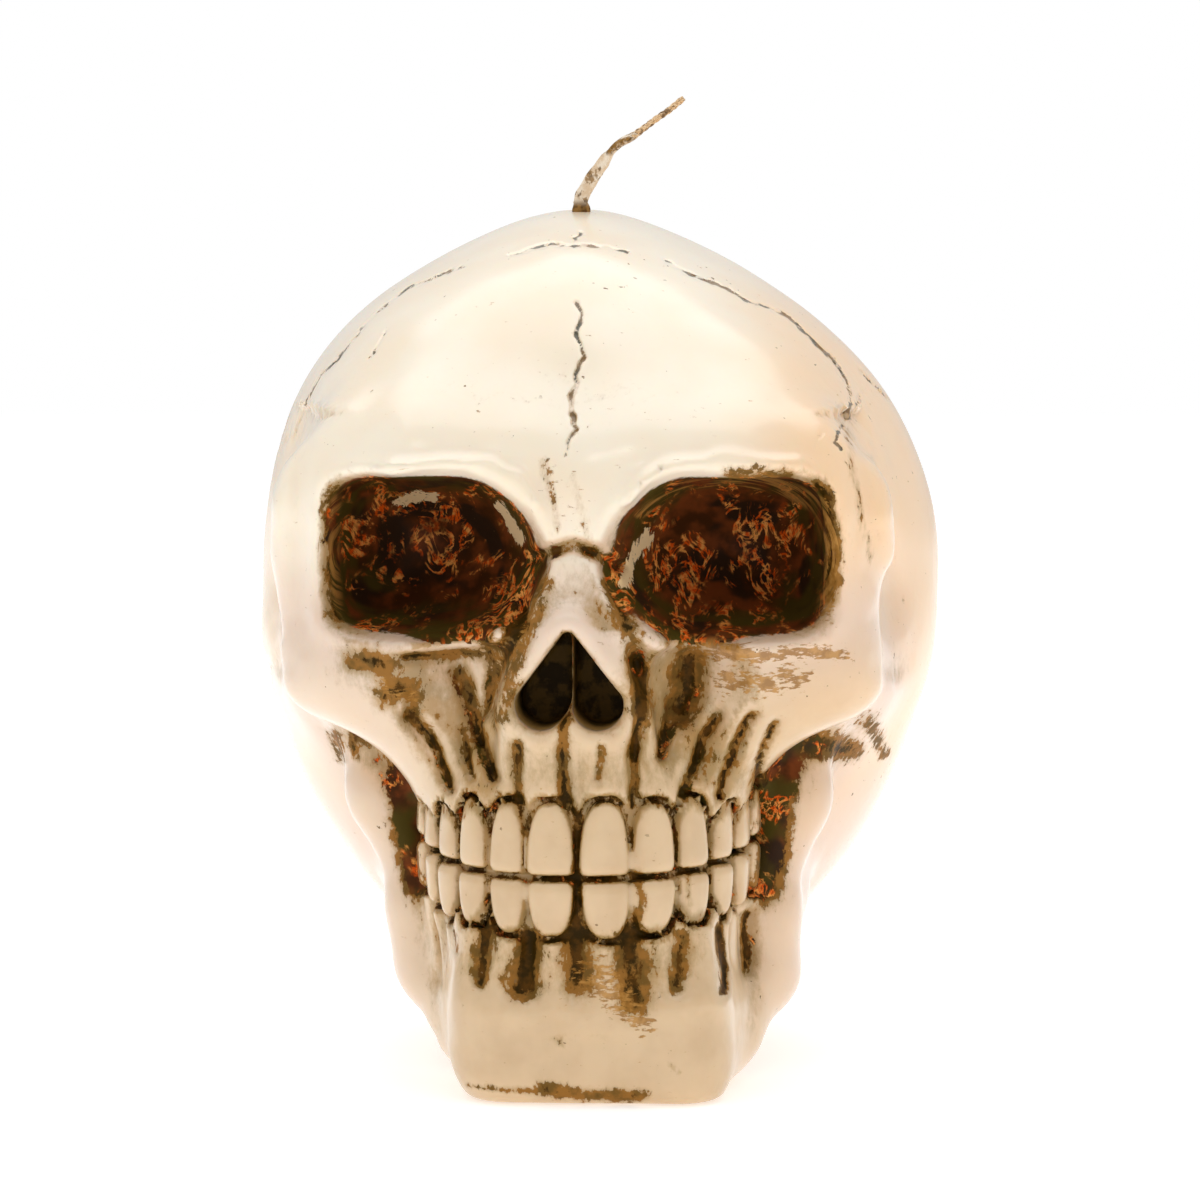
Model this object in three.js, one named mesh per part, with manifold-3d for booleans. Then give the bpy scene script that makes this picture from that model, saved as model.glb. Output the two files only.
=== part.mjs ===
// Skull candle: a wax casting of a human skull with its jaw closed, the braided cotton wick through its
// middle, the steel sustainer at the wick's foot, and the plug of wax that tops up the base round it.
// Millimetres, +Z up, the face looks towards -Y, and the origin is in the middle of the base.
import * as THREE from "three";
import { mergeVertices } from "three/addons/utils/BufferGeometryUtils.js";
import Module from "manifold-3d";

const wasm = await Module();
wasm.setup();

// Overall sizes of the wax skull
const skullHeight = 150; // base to crown, without the wick
const craniumWidth = 122.6;
const skullDepth = 140; // incisors to the back of the head
const crownLean = 5.8; // the hand-cast dome leans this far to the left
const crownReturn = 18; // but less steeply near the crown
const bowlLean = 0.5; // and the bowl below it this far
const jawShift = 2.3; // the chin sits this far to the right
const jawShiftTop = 62; // from this level down
const jawLeanPower = 1.5; // 1 would be a straight slope
const noseShift = 0.7; // and the nose this far to the left

// Braincase
const craniumLength = 116;
const craniumDome = 64.9; // from the widest level up
const craniumBowl = 77; // from the widest level down
const crownPinch = 0.42; // 0 would be a round egg, more is a narrower crown
const pinchPower = 6; // and a higher power keeps the pinch to the crown
const foreheadWidth = 104;
const foreheadLength = 99;
const foreheadHeight = 92;
const foreheadPower = 3; // squarish over the brows, and round at the crown
const squareBelow = 106;
const roundAbove = 136;
const neckWidth = 44;
const neckLength = 68;
const neckPower = 2.6; // 2 would be an ellipse
const neckOverrun = 6; // below the base, which is then cut flat
const throatWidth = 50;
const throatLength = 50;
const throatHeight = 66;
const throatRounding = 12;
const templeThickness = 17;
const templeLength = 40;
const templeHeight = 42;

// Brow, cheeks and the bones round the eye
const midfaceWidth = 78;
const midfaceLength = 48;
const midfaceHeight = 54;
const glabellaRadius = 4.6;
const browRadius = 4.5;
const browTailRadius = 4.4;
const eyeBarRadius = 4.1; // the upright bar at the outer side of the eye
const cheekCornerRadius = 7;
const cheekRadius = 7.2;
const cheekFrontRadius = 5.6;
const eyeRimRadius = 3.6;
const archRadius = 4.4;
const archTailRadius = 2.6;
const buttressRadius = 4.2;

// Eye sockets
const orbitWidth = 35.6;
const orbitHeight = 26.8;
const orbitDepth = 30;
const orbitSlant = 0.37; // how much further back the opening lies for each step outwards
const orbitInnerPower = 2.1; // rounded towards the nose
const orbitOuterPower = 3.6; // squarer towards the temple

// Nose
const nasalBodyWidth = 23;
const nasalBodyLength = 26;
const nasalBodyHeight = 38;
const nasalRootRadius = 3.8;
const nasalTipRadius = 3;
const nasalBorderRadius = 2.8;
const spineRadius = 2.2;
const nostrilDepth = 16;
const septumThickness = 1.4;

// Hollows of the cheek beside the nose
const fossaWidth = 13;
const fossaLength = 10;
const fossaHeight = 22;

// Jaws
const maxillaWidth = 48;
const maxillaLength = 55;
const maxillaHeight = 62;
const archPower = 2.4;
const mandibleWidth = 45;
const mandibleLength = 37;
const mandibleHeight = 32;
const mandibleRounding = 8;
const chinWidth = 41;
const chinLength = 40;
const chinHeight = 26;
const chinRounding = 8.5;
const jawFrontRadius = 7.4;
const jawCornerRadius = 7.2;
const ramusFootRadius = 6.2;
const ramusFrontRadius = 5.4;
const ramusRadius = 4.6;
const ramusWebRadius = 4;
const condyleRadius = 4.6;
const coronoidRadius = 3.4;

// Teeth
// The teeth's pitches along the arch and their heights, from the middle outwards
const leftToothPitches = [9.2, 8, 7.6, 7.6, 7.4, 7.2];
const rightToothPitches = [9.4, 9.2, 8.2, 7.6, 7.4, 7.2];
const upperToothHeights = [12.4, 12.2, 11.8, 11.1, 10.2, 9.1];
const lowerToothHeights = [9.6, 9.5, 9.4, 9.2, 9, 8.7];
const toothGap = 1.3;
const toothLength = 6.4; // from front to back
const toothBevel = 1.6;
const biteGap = 0.9;
const biteRise = 3.6; // the row curves up by this much towards its ends
const rootRadius = 2.9; // the ridge that each tooth's root raises in the jaw
const rootTipRadius = 1.5;
const rootInset = 3.4; // the ridge's middle behind the tooth's face
const rootLength = 12;
const rootSetback = 1.5; // the root's tip lies this much further back
const rootReach = rootLength + rootRadius; // nothing further away feels the ridge
const bitingEdgeShare = 0.85; // width of the biting edge against the tooth's full width

// Wick
const wickWidth = 2.5;
const wickThickness = 1.4;
const wickRise = 19.7; // the free end above the crown
const wickReach = 18.4; // how far the free end bends to the right
const wickTipShare = 0.8; // size of the tip against the full size
const seatGap = 0.3; // between wax, wick and steel

// Base: the wax plug and the sustainer in it
const plugRadius = 16;
const plugDepth = 8;
const tabRadius = 9;
const tabThickness = 0.4;
const tabLift = 0.3; // the steel stays clear of the table
const collarWall = 0.5;
const collarHeight = 5;

// How finely the wax skin is divided: cells over the skull's height, if all were as large
const faceCells = 43;
const crownCells = 20;
const backSpread = 2.6; // the cells at the back of the head are this much larger
const relaxPasses = 4;
const relaxShare = 0.5; // each pass moves a point by this share of the way to its neighbours' middle
const drawPasses = 2; // and is then drawn back onto the surface this many times
const gentlestSlope = 0.5; // the field's slope counts as no less than this
const roundSides = 24;
const wickSides = 10;
const wickSteps = 24;

// Places as shares of half the width, half the depth and the height
const placeShares = {
  cranium: [0, 0.171, 0.567],
  forehead: [0, -0.13, 0.653],
  temple: [0.62, -0.4, 0.6],
  neck: [0, 0.04, 0],
  throat: [0, -0.05, 0.3],
  midface: [0, -0.48, 0.52],
  glabella: [0, -0.8, 0.675],
  browInner: [0.19, -0.8, 0.7],
  brow: [0.43, -0.775, 0.708],
  browTail: [0.66, -0.67, 0.695],
  eyeBarTop: [0.715, -0.63, 0.655],
  eyeBar: [0.725, -0.6, 0.6],
  eyeBarFoot: [0.715, -0.61, 0.545],
  cheekCorner: [0.7, -0.6, 0.475],
  cheek: [0.6, -0.65, 0.455],
  cheekFront: [0.44, -0.73, 0.47],
  eyeRim: [0.3, -0.79, 0.5],
  eyeRimInner: [0.165, -0.84, 0.548],
  archMiddle: [0.74, -0.3, 0.465],
  archTail: [0.8, -0.02, 0.48],
  buttressFoot: [0.36, -0.64, 0.37],
  orbit: [0.41, -0.83, 0.606],
  nasalBody: [0, -0.7, 0.49],
  nasalRoot: [0, -0.8, 0.61],
  nasalTip: [0, -0.93, 0.533],
  nasalSide: [0.09, -0.9, 0.487],
  nasalWing: [0.145, -0.865, 0.44],
  nasalFoot: [0.095, -0.875, 0.405],
  spine: [0, -0.93, 0.43],
  fossa: [0.32, -0.85, 0.455],
  maxilla: [0, -0.52, 0.3],
  mandible: [0, -0.6, 0.12],
  chin: [0, -0.635, 0.065],
  jawFront: [0.25, -0.62, 0.1],
  jawCorner: [0.425, -0.38, 0.122],
  ramusFront: [0.5, -0.4, 0.18],
  ramusUpperFront: [0.635, -0.4, 0.32],
  coronoid: [0.66, -0.4, 0.41],
  ramusFoot: [0.45, -0.25, 0.15],
  ramusBack: [0.52, -0.18, 0.2],
  ramusUpperBack: [0.59, -0.13, 0.3],
  condyle: [0.645, -0.09, 0.375],
  bite: [0, 0, 0.2545],
  wick: [-0.05, 0.07, 1],
};
// Melting widths between neighbouring forms, as shares of half the width
const softShare = 0.28;
const mediumShare = 0.13;
const crispShare = 0.06;
// The step that finds the field's slope, and the distance at which corners are one, as shares of the last
const probeShare = 0.02;
const mergeShare = 0.0001;
// The dome's lean eases off from this share of its height, and the bowl's is complete at this share down
const crownReturnShare = 0.65;
const bowlLeanShare = 0.55;
// A root leans outwards over its length by this share of its tooth's distance from the middle
const rootSplayShare = 0.06;
// The cells grow between these shares of the height, towards the crown and towards the base
const crownFromShare = 0.7;
const crownToShare = 0.8;
const baseFromShare = 0.12;
const baseToShare = 0.02;
// The same across the face, as shares of half the width
const sideFromShare = 0.72;
const sideToShare = 0.92;
// The cells grow towards the back from here to there, as shares of half the depth
const spreadFromShare = -0.6;
const spreadToShare = 0.5;
// The dental arch from the middle backwards, as shares of half the maxilla's width and length
const dentalArchShares = [
  [0, -1.0945],
  [0.3065, -1.069],
  [0.511, -0.993],
  [0.766, -0.84],
  [0.971, -0.611],
  [1.124, -0.356],
  [1.226, -0.076],
  [1.277, 0.229],
];
// One nostril seen from the front: its narrow top, outer side, rounded foot and inner side, as shares of
// the distances from the septum to the nasal wing and from the foot to the tip of the nose
const nostrilShares = [
  [0, 0.94],
  [0.14, 0.92],
  [0.46, 0.55],
  [0.78, 0.22],
  [0.85, 0.04],
  [0.7, -0.1],
  [0.42, -0.12],
  [0.16, 0.02],
  [0, 0.2],
];
// The wick turns on edge between these shares of its free end
const turnFromShare = 0.3;
const turnToShare = 0.5;
// The wick's free end, as shares of its reach and its rise
const wickShares = [
  [0, 0],
  [0, 0.08],
  [0.04, 0.165],
  [0.11, 0.275],
  [0.185, 0.375],
  [0.245, 0.455],
  [0.315, 0.54],
  [0.4, 0.605],
  [0.51, 0.66],
  [0.63, 0.74],
  [0.745, 0.82],
  [0.855, 0.89],
  [1, 1],
];

const halfWidth = craniumWidth / 2;
const halfDepth = skullDepth / 2;
const soft = softShare * halfWidth;
const medium = mediumShare * halfWidth;
const crisp = crispShare * halfWidth;
const place = {};
for (const [name, [x, y, z]] of Object.entries(placeShares))
  place[name] = [x * halfWidth, y * halfDepth, z * skullHeight];

// Signed distances of simple forms, negative inside

function length(x, y, z) {
  return Math.sqrt(x * x + y * y + z * z);
}

function ellipsoid(p, c, rx, ry, rz) {
  const x = (p[0] - c[0]) / rx;
  const y = (p[1] - c[1]) / ry;
  const z = (p[2] - c[2]) / rz;
  const near = length(x, y, z);
  const steep = length(x / rx, y / ry, z / rz);
  return steep > 0 ? (near * (near - 1)) / steep : -Math.min(rx, ry, rz);
}

// A rod with round ends, from a to b, whose radius runs from ra to rb
function rod(p, a, b, ra, rb) {
  const [bx, by, bz] = [b[0] - a[0], b[1] - a[1], b[2] - a[2]];
  const [px, py, pz] = [p[0] - a[0], p[1] - a[1], p[2] - a[2]];
  const along = (px * bx + py * by + pz * bz) / (bx * bx + by * by + bz * bz);
  const t = Math.min(Math.max(along, 0), 1);
  return length(px - t * bx, py - t * by, pz - t * bz) - ra - t * (rb - ra);
}

function chain(p, links) {
  let d = Infinity;
  for (let i = 1; i < links.length; i++) {
    const [a, ra] = links[i - 1];
    const [b, rb] = links[i];
    d = melt(d, rod(p, a, b, ra, rb), crisp);
  }
  return d;
}

function roundedBox(p, c, width, depth, height, rounding) {
  const x = Math.abs(p[0] - c[0]) - width / 2 + rounding;
  const y = Math.abs(p[1] - c[1]) - depth / 2 + rounding;
  const z = Math.abs(p[2] - c[2]) - height / 2 + rounding;
  const outside = length(Math.max(x, 0), Math.max(y, 0), Math.max(z, 0));
  return outside + Math.min(Math.max(x, y, z), 0) - rounding;
}

// An upright column with a squarish round section
function column(p, c, width, depth, power) {
  const x = Math.abs(p[0] - c[0]) / (width / 2);
  const y = Math.abs(p[1] - c[1]) / (depth / 2);
  return (((x ** power + y ** power) ** (1 / power) - 1) * width) / 2;
}

// Joins two forms, or cuts the second out of the first, melting the edge over the given width
function melt(a, b, width) {
  if (a === Infinity) return b;
  const h = Math.max(width - Math.abs(a - b), 0) / width;
  return Math.min(a, b) - (h * h * width) / 4;
}

function carve(a, b, width) {
  return -melt(-a, b, width);
}

// Forms of the skull, each for one half of the mirrored head

const { max, abs } = Math;
const { lerp, smoothstep } = THREE.MathUtils;

function forehead(p) {
  const [cx, cy, cz] = place.forehead;
  const x = abs(p[0] - cx) / (foreheadWidth / 2);
  const y = abs(p[1] - cy) / (foreheadLength / 2);
  const z = (p[2] - cz) / (foreheadHeight / 2);
  const power = lerp(foreheadPower, 2, smoothstep(p[2], squareBelow, roundAbove));
  const level = (x ** power + y ** power) ** (1 / power);
  return ((length(level, z, 0) - 1) * foreheadHeight) / 2;
}

function braincase(p) {
  const above = max(p[2] - place.cranium[2], 0);
  const pinched = [p[0] * (1 + crownPinch * (above / craniumDome) ** pinchPower), p[1], p[2]];
  const rise = above ? craniumDome : craniumBowl;
  const egg = ellipsoid(pinched, place.cranium, craniumWidth / 2, craniumLength / 2, rise);
  const temple = ellipsoid(p, place.temple, templeThickness / 2, templeLength / 2, templeHeight / 2);
  const stem = column(p, place.neck, neckWidth, neckLength, neckPower);
  const neck = max(stem, p[2] - place.cranium[2], -p[2] - neckOverrun);
  const throat = roundedBox(p, place.throat, throatWidth, throatLength, throatHeight, throatRounding);
  const dome = melt(melt(egg, forehead(pinched), medium), temple, medium);
  return melt(melt(dome, neck, medium), throat, medium);
}

function eyeBones(p) {
  const { glabella, browInner, brow, browTail, eyeBarTop, eyeBar, eyeBarFoot } = place;
  const { cheekCorner, cheek, cheekFront, eyeRim, eyeRimInner, archMiddle, archTail, buttressFoot } = place;
  const ring = chain(p, [
    [glabella, glabellaRadius],
    [browInner, browRadius],
    [brow, browRadius],
    [browTail, browTailRadius],
    [eyeBarTop, eyeBarRadius],
    [eyeBar, eyeBarRadius],
    [eyeBarFoot, eyeBarRadius],
    [cheekCorner, cheekCornerRadius],
    [cheek, cheekRadius],
    [cheekFront, cheekFrontRadius],
    [eyeRim, eyeRimRadius],
    [eyeRimInner, eyeRimRadius],
  ]);
  const arch = chain(p, [
    [cheekCorner, archRadius],
    [archMiddle, archRadius],
    [archTail, archTailRadius],
  ]);
  const buttress = rod(p, cheek, buttressFoot, buttressRadius, buttressRadius);
  return melt(melt(ring, arch, medium), buttress, medium);
}

function noseBones(p) {
  const { nasalBody, nasalRoot, nasalTip, nasalSide, nasalWing, nasalFoot, spine } = place;
  const body = ellipsoid(p, nasalBody, nasalBodyWidth / 2, nasalBodyLength / 2, nasalBodyHeight / 2);
  const border = chain(p, [
    [nasalRoot, nasalRootRadius],
    [nasalTip, nasalTipRadius],
    [nasalSide, nasalBorderRadius],
    [nasalWing, nasalBorderRadius],
    [nasalFoot, nasalBorderRadius],
    [spine, spineRadius],
  ]);
  return melt(body, border, crisp);
}

function orbit(p) {
  const [cx, cy, cz] = place.orbit;
  const x = (p[0] - cx) / (orbitWidth / 2);
  const y = (p[1] - cy - orbitSlant * (p[0] - cx)) / orbitDepth;
  const z = (p[2] - cz) / (orbitHeight / 2);
  const power = lerp(orbitInnerPower, orbitOuterPower, smoothstep(x, -1, 1));
  const ring = (abs(x) ** power + abs(z) ** power) ** (1 / power);
  return ((length(ring, y, 0) - 1) * orbitHeight) / 2;
}

function lowerJaw(p) {
  const { jawFront, jawCorner, ramusFront, ramusUpperFront, coronoid } = place;
  const { ramusFoot, ramusBack, ramusUpperBack, condyle } = place;
  const front = chain(p, [
    [jawFront, jawFrontRadius],
    [jawCorner, jawCornerRadius],
    [ramusFront, ramusFrontRadius],
    [ramusUpperFront, ramusRadius],
    [coronoid, coronoidRadius],
  ]);
  const back = chain(p, [
    [jawCorner, jawCornerRadius],
    [ramusFoot, ramusFootRadius],
    [ramusBack, ramusRadius],
    [ramusUpperBack, ramusRadius],
    [condyle, condyleRadius],
  ]);
  const web = chain(p, [
    [ramusFront, ramusRadius],
    [ramusBack, ramusWebRadius],
    [ramusUpperFront, ramusWebRadius],
    [ramusUpperBack, ramusWebRadius],
  ]);
  const mandible = roundedBox(
    p, place.mandible, mandibleWidth, mandibleLength, mandibleHeight, mandibleRounding,
  );
  const chin = roundedBox(p, place.chin, chinWidth, chinLength, chinHeight, chinRounding);
  return melt(melt(melt(melt(front, back, medium), web, medium), mandible, medium), chin, medium);
}

// Each tooth's place on the arch, its heading and its sizes
function toothRow() {
  const arch = new THREE.CatmullRomCurve3(
    dentalArchShares.map(([x, y]) => {
      const [reachX, reachY] = [(x * maxillaWidth) / 2, (y * maxillaLength) / 2];
      return new THREE.Vector3(place.maxilla[0] + reachX, place.maxilla[1] + reachY, 0);
    }),
  );
  const row = [];
  for (const up of [1, -1])
    for (const side of [-1, 1]) {
      const pitches = side < 0 ? leftToothPitches : rightToothPitches;
      const heights = up > 0 ? upperToothHeights : lowerToothHeights;
      let along = 0;
      for (const [n, pitch] of pitches.entries()) {
        const u = (along + pitch / 2) / arch.getLength();
        along += pitch;
        const spot = arch.getPointAt(u);
        const heading = arch.getTangentAt(u);
        const level = place.bite[2] + (up * biteGap) / 2;
        const rise = biteRise * (n / (pitches.length - 1)) ** 2;
        row.push({
          up,
          width: pitch - toothGap,
          height: heights[n],
          turn: side * Math.atan2(heading.y, heading.x),
          spot: new THREE.Vector3(side * spot.x + jawLean(level), spot.y, level + rise),
        });
      }
    }
  return row;
}

// The ridges that the teeth's roots raise in both jaws
function roots(p, d) {
  for (const { spot, up, start, end } of row) {
    const sideways = max(abs(p[0] - spot.x), abs(p[1] - spot.y));
    const upwards = (p[2] - spot.z) * up;
    if (sideways > rootReach || upwards < 0 || upwards > upperToothHeights[0] + rootReach) continue;
    d = melt(d, rod(p, start, end, rootRadius, rootTipRadius), crisp);
  }
  return d;
}

// The leaning head without its teeth and bores
function head(x, y, z) {
  const brain = [rounded(x - crownLeanAt(z)), y, z];
  const face = [rounded(x - jawLean(z)), y, z];
  const alveolar = column(face, place.maxilla, maxillaWidth, maxillaLength, archPower);
  const maxilla = max(alveolar, abs(z - place.maxilla[2]) - maxillaHeight / 2);
  const midface = ellipsoid(face, place.midface, midfaceWidth / 2, midfaceLength / 2, midfaceHeight / 2);
  let d = melt(braincase(brain), midface, medium);
  d = melt(d, maxilla, medium);
  d = melt(d, eyeBones(face), soft);
  d = carve(d, ellipsoid(face, place.fossa, fossaWidth / 2, fossaLength / 2, fossaHeight / 2), medium);
  d = melt(d, noseBones([rounded(x + noseShift), y, z]), crisp);
  d = carve(d, orbit(face), medium);
  d = melt(d, lowerJaw(face), crisp);
  return roots([x, y, z], d);
}

// The distance from the middle plane, rounded off close to it so that the two halves flow together
function rounded(u) {
  return abs(u) < crisp ? (u * u + crisp * crisp) / crisp / 2 : abs(u);
}

function crownLeanAt(z) {
  const up = (z - place.cranium[2]) / (skullHeight - place.cranium[2]);
  const back = crownReturn * max(up - crownReturnShare, 0) ** 2;
  return back - crownLean * max(up, 0) ** 2 - bowlLean * smoothstep(-up, 0, bowlLeanShare);
}

function jawLean(z) {
  return jawShift * max(1 - max(z, 0) / jawShiftTop, 0) ** jawLeanPower;
}

const row = toothRow();
for (const tooth of row) {
  const { spot, up, height, turn } = tooth;
  const [x, y] = [spot.x - rootInset * Math.sin(turn), spot.y + rootInset * Math.cos(turn)];
  tooth.start = [x, y, spot.z + up * (height - toothBevel)];
  tooth.end = [x - rootSplayShare * spot.x, y + rootSetback, spot.z + up * (height + rootLength)];
}

// The closed skin where a field is zero, over a grid of cells whose corners the function corner gives.
// Each cell has one point for each sheet of the skin in it, and each grid edge that the skin crosses
// has a quadrilateral round it.
function skinOf(field, count, corner) {
  const stride = [1, count[0], count[0] * count[1]];
  const spots = [];
  for (let k = 0; k < count[2]; k++)
    for (let j = 0; j < count[1]; j++)
      for (let i = 0; i < count[0]; i++) spots.push(corner(i, j, k));
  const value = spots.map((s) => field(s.x, s.y, s.z));

  const step = (c) => (c & 1 ? stride[0] : 0) + (c & 2 ? stride[1] : 0) + (c & 4 ? stride[2] : 0);
  const edges = [];
  const faces = [];
  for (let axis = 0; axis < 3; axis++) {
    const u = 1 << ((axis + 1) % 3);
    const v = 1 << ((axis + 2) % 3);
    for (const c of [0, u, u | v, v]) edges.push([c, c | (1 << axis)]);
    for (const side of [0, 1 << axis]) faces.push([side, side | u, side | u | v, side | v]);
  }
  const edgeOf = new Map(edges.map(([a, b], n) => [a * 8 + b, n]));
  const edgeBetween = (a, b) => edgeOf.get(Math.min(a, b) * 8 + Math.max(a, b));

  const points = [];
  const pointOf = new Map();
  for (let n = 0; n < value.length - step(7); n++) {
    if (!inGrid(n, stride, count)) continue;
    const inside = Array.from({ length: 8 }, (_, c) => value[n + step(c)] < 0);
    if (inside.every((v) => v === inside[0])) continue;
    const sheet = edges.map(([a, b], e) => (inside[a] === inside[b] ? -1 : e));
    const unite = (a, b) => {
      const dropped = sheet[b];
      sheet.forEach((s, e) => s === dropped && (sheet[e] = sheet[a]));
    };
    for (const face of faces) {
      const round = face.map((c, m) => edgeBetween(c, face[(m + 1) % 4]));
      const crossed = round.filter((e) => sheet[e] >= 0);
      if (crossed.length === 2) unite(...crossed);
      if (crossed.length === 4) face.forEach((c, m) => inside[c] && unite(round[(m + 3) % 4], round[m]));
    }
    for (const s of new Set(sheet.filter((v) => v >= 0))) {
      const members = edges.filter((_, e) => sheet[e] === s);
      const middle = new THREE.Vector3();
      for (const [a, b] of members) {
        const [from, to] = [n + step(a), n + step(b)];
        const t = value[from] / (value[from] - value[to]);
        middle.add(spots[from].clone().lerp(spots[to], t));
      }
      points.push(middle.divideScalar(members.length));
      edges.forEach((_, e) => sheet[e] === s && pointOf.set(n * edges.length + e, points.length - 1));
    }
  }

  const quads = [];
  for (let axis = 0; axis < 3; axis++) {
    const u = (axis + 1) % 3;
    const v = (axis + 2) % 3;
    for (let n = 0; n + stride[axis] < value.length; n++) {
      if (value[n] < 0 === value[n + stride[axis]] < 0) continue;
      const quad = [[0, 0], [1, 0], [1, 1], [0, 1]].map(([du, dv]) => {
        const from = (du << u) | (dv << v);
        const cell = n - du * stride[u] - dv * stride[v];
        return pointOf.get(cell * edges.length + edgeBetween(from, from | (1 << axis)));
      });
      quads.push(value[n] < 0 ? quad.reverse() : quad);
    }
  }
  for (let pass = 0; pass < relaxPasses; pass++) relax(points, quads, field);
  return geometryFrom(points, quads);
}

function inGrid(n, stride, count) {
  const i = n % count[0];
  const j = Math.floor(n / stride[1]) % count[1];
  return i + 1 < count[0] && j + 1 < count[1];
}

// Moves each point halfway to the middle of its neighbours, then back onto the surface
function relax(points, quads, field) {
  const sums = points.map(() => new THREE.Vector3());
  const counts = points.map(() => 0);
  for (const quad of quads)
    quad.forEach((a, m) => {
      for (const b of [quad[(m + 1) % 4], quad[(m + 3) % 4]]) {
        sums[a].add(points[b]);
        counts[a]++;
      }
    });
  points.forEach((point, n) => {
    point.lerp(sums[n].divideScalar(counts[n]), relaxShare);
    drawOnto(field, point);
  });
}

// Moves a point down the field's slope onto the surface
function drawOnto(field, point) {
  const small = crisp * probeShare;
  for (let pass = 0; pass < drawPasses; pass++) {
    const here = field(point.x, point.y, point.z);
    const slope = new THREE.Vector3(
      field(point.x + small, point.y, point.z) - here,
      field(point.x, point.y + small, point.z) - here,
      field(point.x, point.y, point.z + small) - here,
    ).divideScalar(small);
    const steepness = max(slope.lengthSq(), gentlestSlope ** 2);
    point.addScaledVector(slope, THREE.MathUtils.clamp(-here / steepness, -medium, medium));
  }
}

// Two triangles for each quadrilateral, split along the shorter diagonal
function geometryFrom(points, quads) {
  const index = quads.flatMap(([a, b, c, d]) =>
    points[a].distanceTo(points[c]) < points[b].distanceTo(points[d])
      ? [a, c, b, a, d, c]
      : [a, d, b, b, d, c],
  );
  return new THREE.BufferGeometry().setFromPoints(points).setIndex(index);
}

// Solids for joining and cutting

function solidOf(geometry) {
  const plain = geometry.clone();
  plain.deleteAttribute("normal");
  plain.deleteAttribute("uv");
  const { attributes, index } = mergeVertices(plain, crisp * mergeShare);
  return new wasm.Manifold(
    new wasm.Mesh({
      numProp: 3,
      vertProperties: attributes.position.array,
      triVerts: new Uint32Array(index.array),
    }),
  );
}

function geometryOf(solid) {
  const mesh = solid.getMesh();
  return new THREE.BufferGeometry()
    .setAttribute("position", new THREE.Float32BufferAttribute(mesh.vertProperties, 3))
    .setIndex([...mesh.triVerts]);
}

// A disc or rod along the wick's upright part, from one level up to another
function disc(radius, from, to) {
  const [x, y] = place.wick;
  return new THREE.CylinderGeometry(radius, radius, to - from, roundSides)
    .rotateX(Math.PI / 2)
    .translate(x, y, (from + to) / 2);
}

const overrun = neckOverrun;
const boreRadius = wickWidth / 2 + seatGap;

// Levels from low to high, each as far from the last as the cell there is large
function levels(low, high, cellAt) {
  const line = [low];
  while (line.at(-1) < high) line.push(line.at(-1) + cellAt(line.at(-1)));
  return line;
}

// The grid over the head: fine over the face, and with larger cells at the crown and towards the back
function headSkin() {
  const [fine, large] = [skullHeight / faceCells, skullHeight / crownCells];
  const middle = skullHeight / 2;
  const cellUp = (z) => {
    const share = z / skullHeight;
    const above = smoothstep(share, crownFromShare, crownToShare);
    const below = smoothstep(-share, -baseFromShare, -baseToShare);
    return lerp(fine, large, max(above, below));
  };
  const cellOut = (x) => lerp(fine, large, smoothstep(abs(x) / halfWidth, sideFromShare, sideToShare));
  const spread = (y) => lerp(1, backSpread, smoothstep(y / halfDepth, spreadFromShare, spreadToShare));
  const right = levels(fine / 2, halfWidth + large, cellOut);
  const xs = [...right.map((x) => -x).reverse(), ...right];
  const ys = levels(-halfDepth - fine, halfDepth + backSpread * fine, (y) => fine * spread(y));
  const zs = levels(-overrun - fine, skullHeight + large, cellUp);
  return skinOf(head, [xs.length, ys.length, zs.length], (i, j, k) => {
    const size = spread(ys[j]);
    return new THREE.Vector3(xs[i] * size, ys[j], middle + (zs[k] - middle) * size);
  });
}

// A tooth seen from the front: a flat biting edge and a round arch at the gum
function toothGeometry(width, height) {
  const half = width / 2 - toothBevel;
  const top = height - 2 * toothBevel;
  const outline = new THREE.Shape();
  outline.moveTo(-half * bitingEdgeShare, 0);
  outline.lineTo(half * bitingEdgeShare, 0);
  outline.lineTo(half, top - half);
  outline.absarc(0, top - half, half, 0, Math.PI);
  return new THREE.ExtrudeGeometry(outline, {
    depth: toothLength - 2 * toothBevel,
    bevelThickness: toothBevel,
    bevelSize: toothBevel,
    bevelSegments: 2,
    curveSegments: 7,
  }).translate(0, toothBevel, toothBevel - toothLength);
}

function teeth() {
  return row.map(({ spot, up, width, height, turn }) =>
    solidOf(
      toothGeometry(width, height)
        .rotateX(Math.PI / 2)
        .rotateY(up > 0 ? 0 : Math.PI)
        .rotateZ(turn)
        .translate(spot.x, spot.y, spot.z),
    ),
  );
}

function nostril(side) {
  const wide = place.nasalWing[0];
  const high = place.nasalTip[2] - place.spine[2];
  const outline = new THREE.Shape(
    nostrilShares.map(([x, z]) => new THREE.Vector2(side * (septumThickness / 2 + x * wide), z * high)),
  );
  const level = place.spine[2];
  return new THREE.ExtrudeGeometry(outline, { depth: nostrilDepth + overrun, bevelEnabled: false })
    .rotateX(Math.PI / 2)
    .translate(-noseShift, place.nasalTip[1] + nostrilDepth, level);
}

function skullCasting() {
  const room = 2 * skullDepth;
  const under = new THREE.BoxGeometry(room, room, room).translate(0, 0, -room / 2);
  const bore = disc(boreRadius, -overrun, skullHeight + overrun);
  const well = disc(plugRadius + seatGap, -overrun, plugDepth + seatGap);
  let solid = solidOf(headSkin());
  for (const tooth of teeth()) solid = solid.add(tooth);
  for (const cut of [nostril(-1), nostril(1), under, bore, well]) solid = solid.subtract(solidOf(cut));
  return geometryOf(solid);
}

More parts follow.
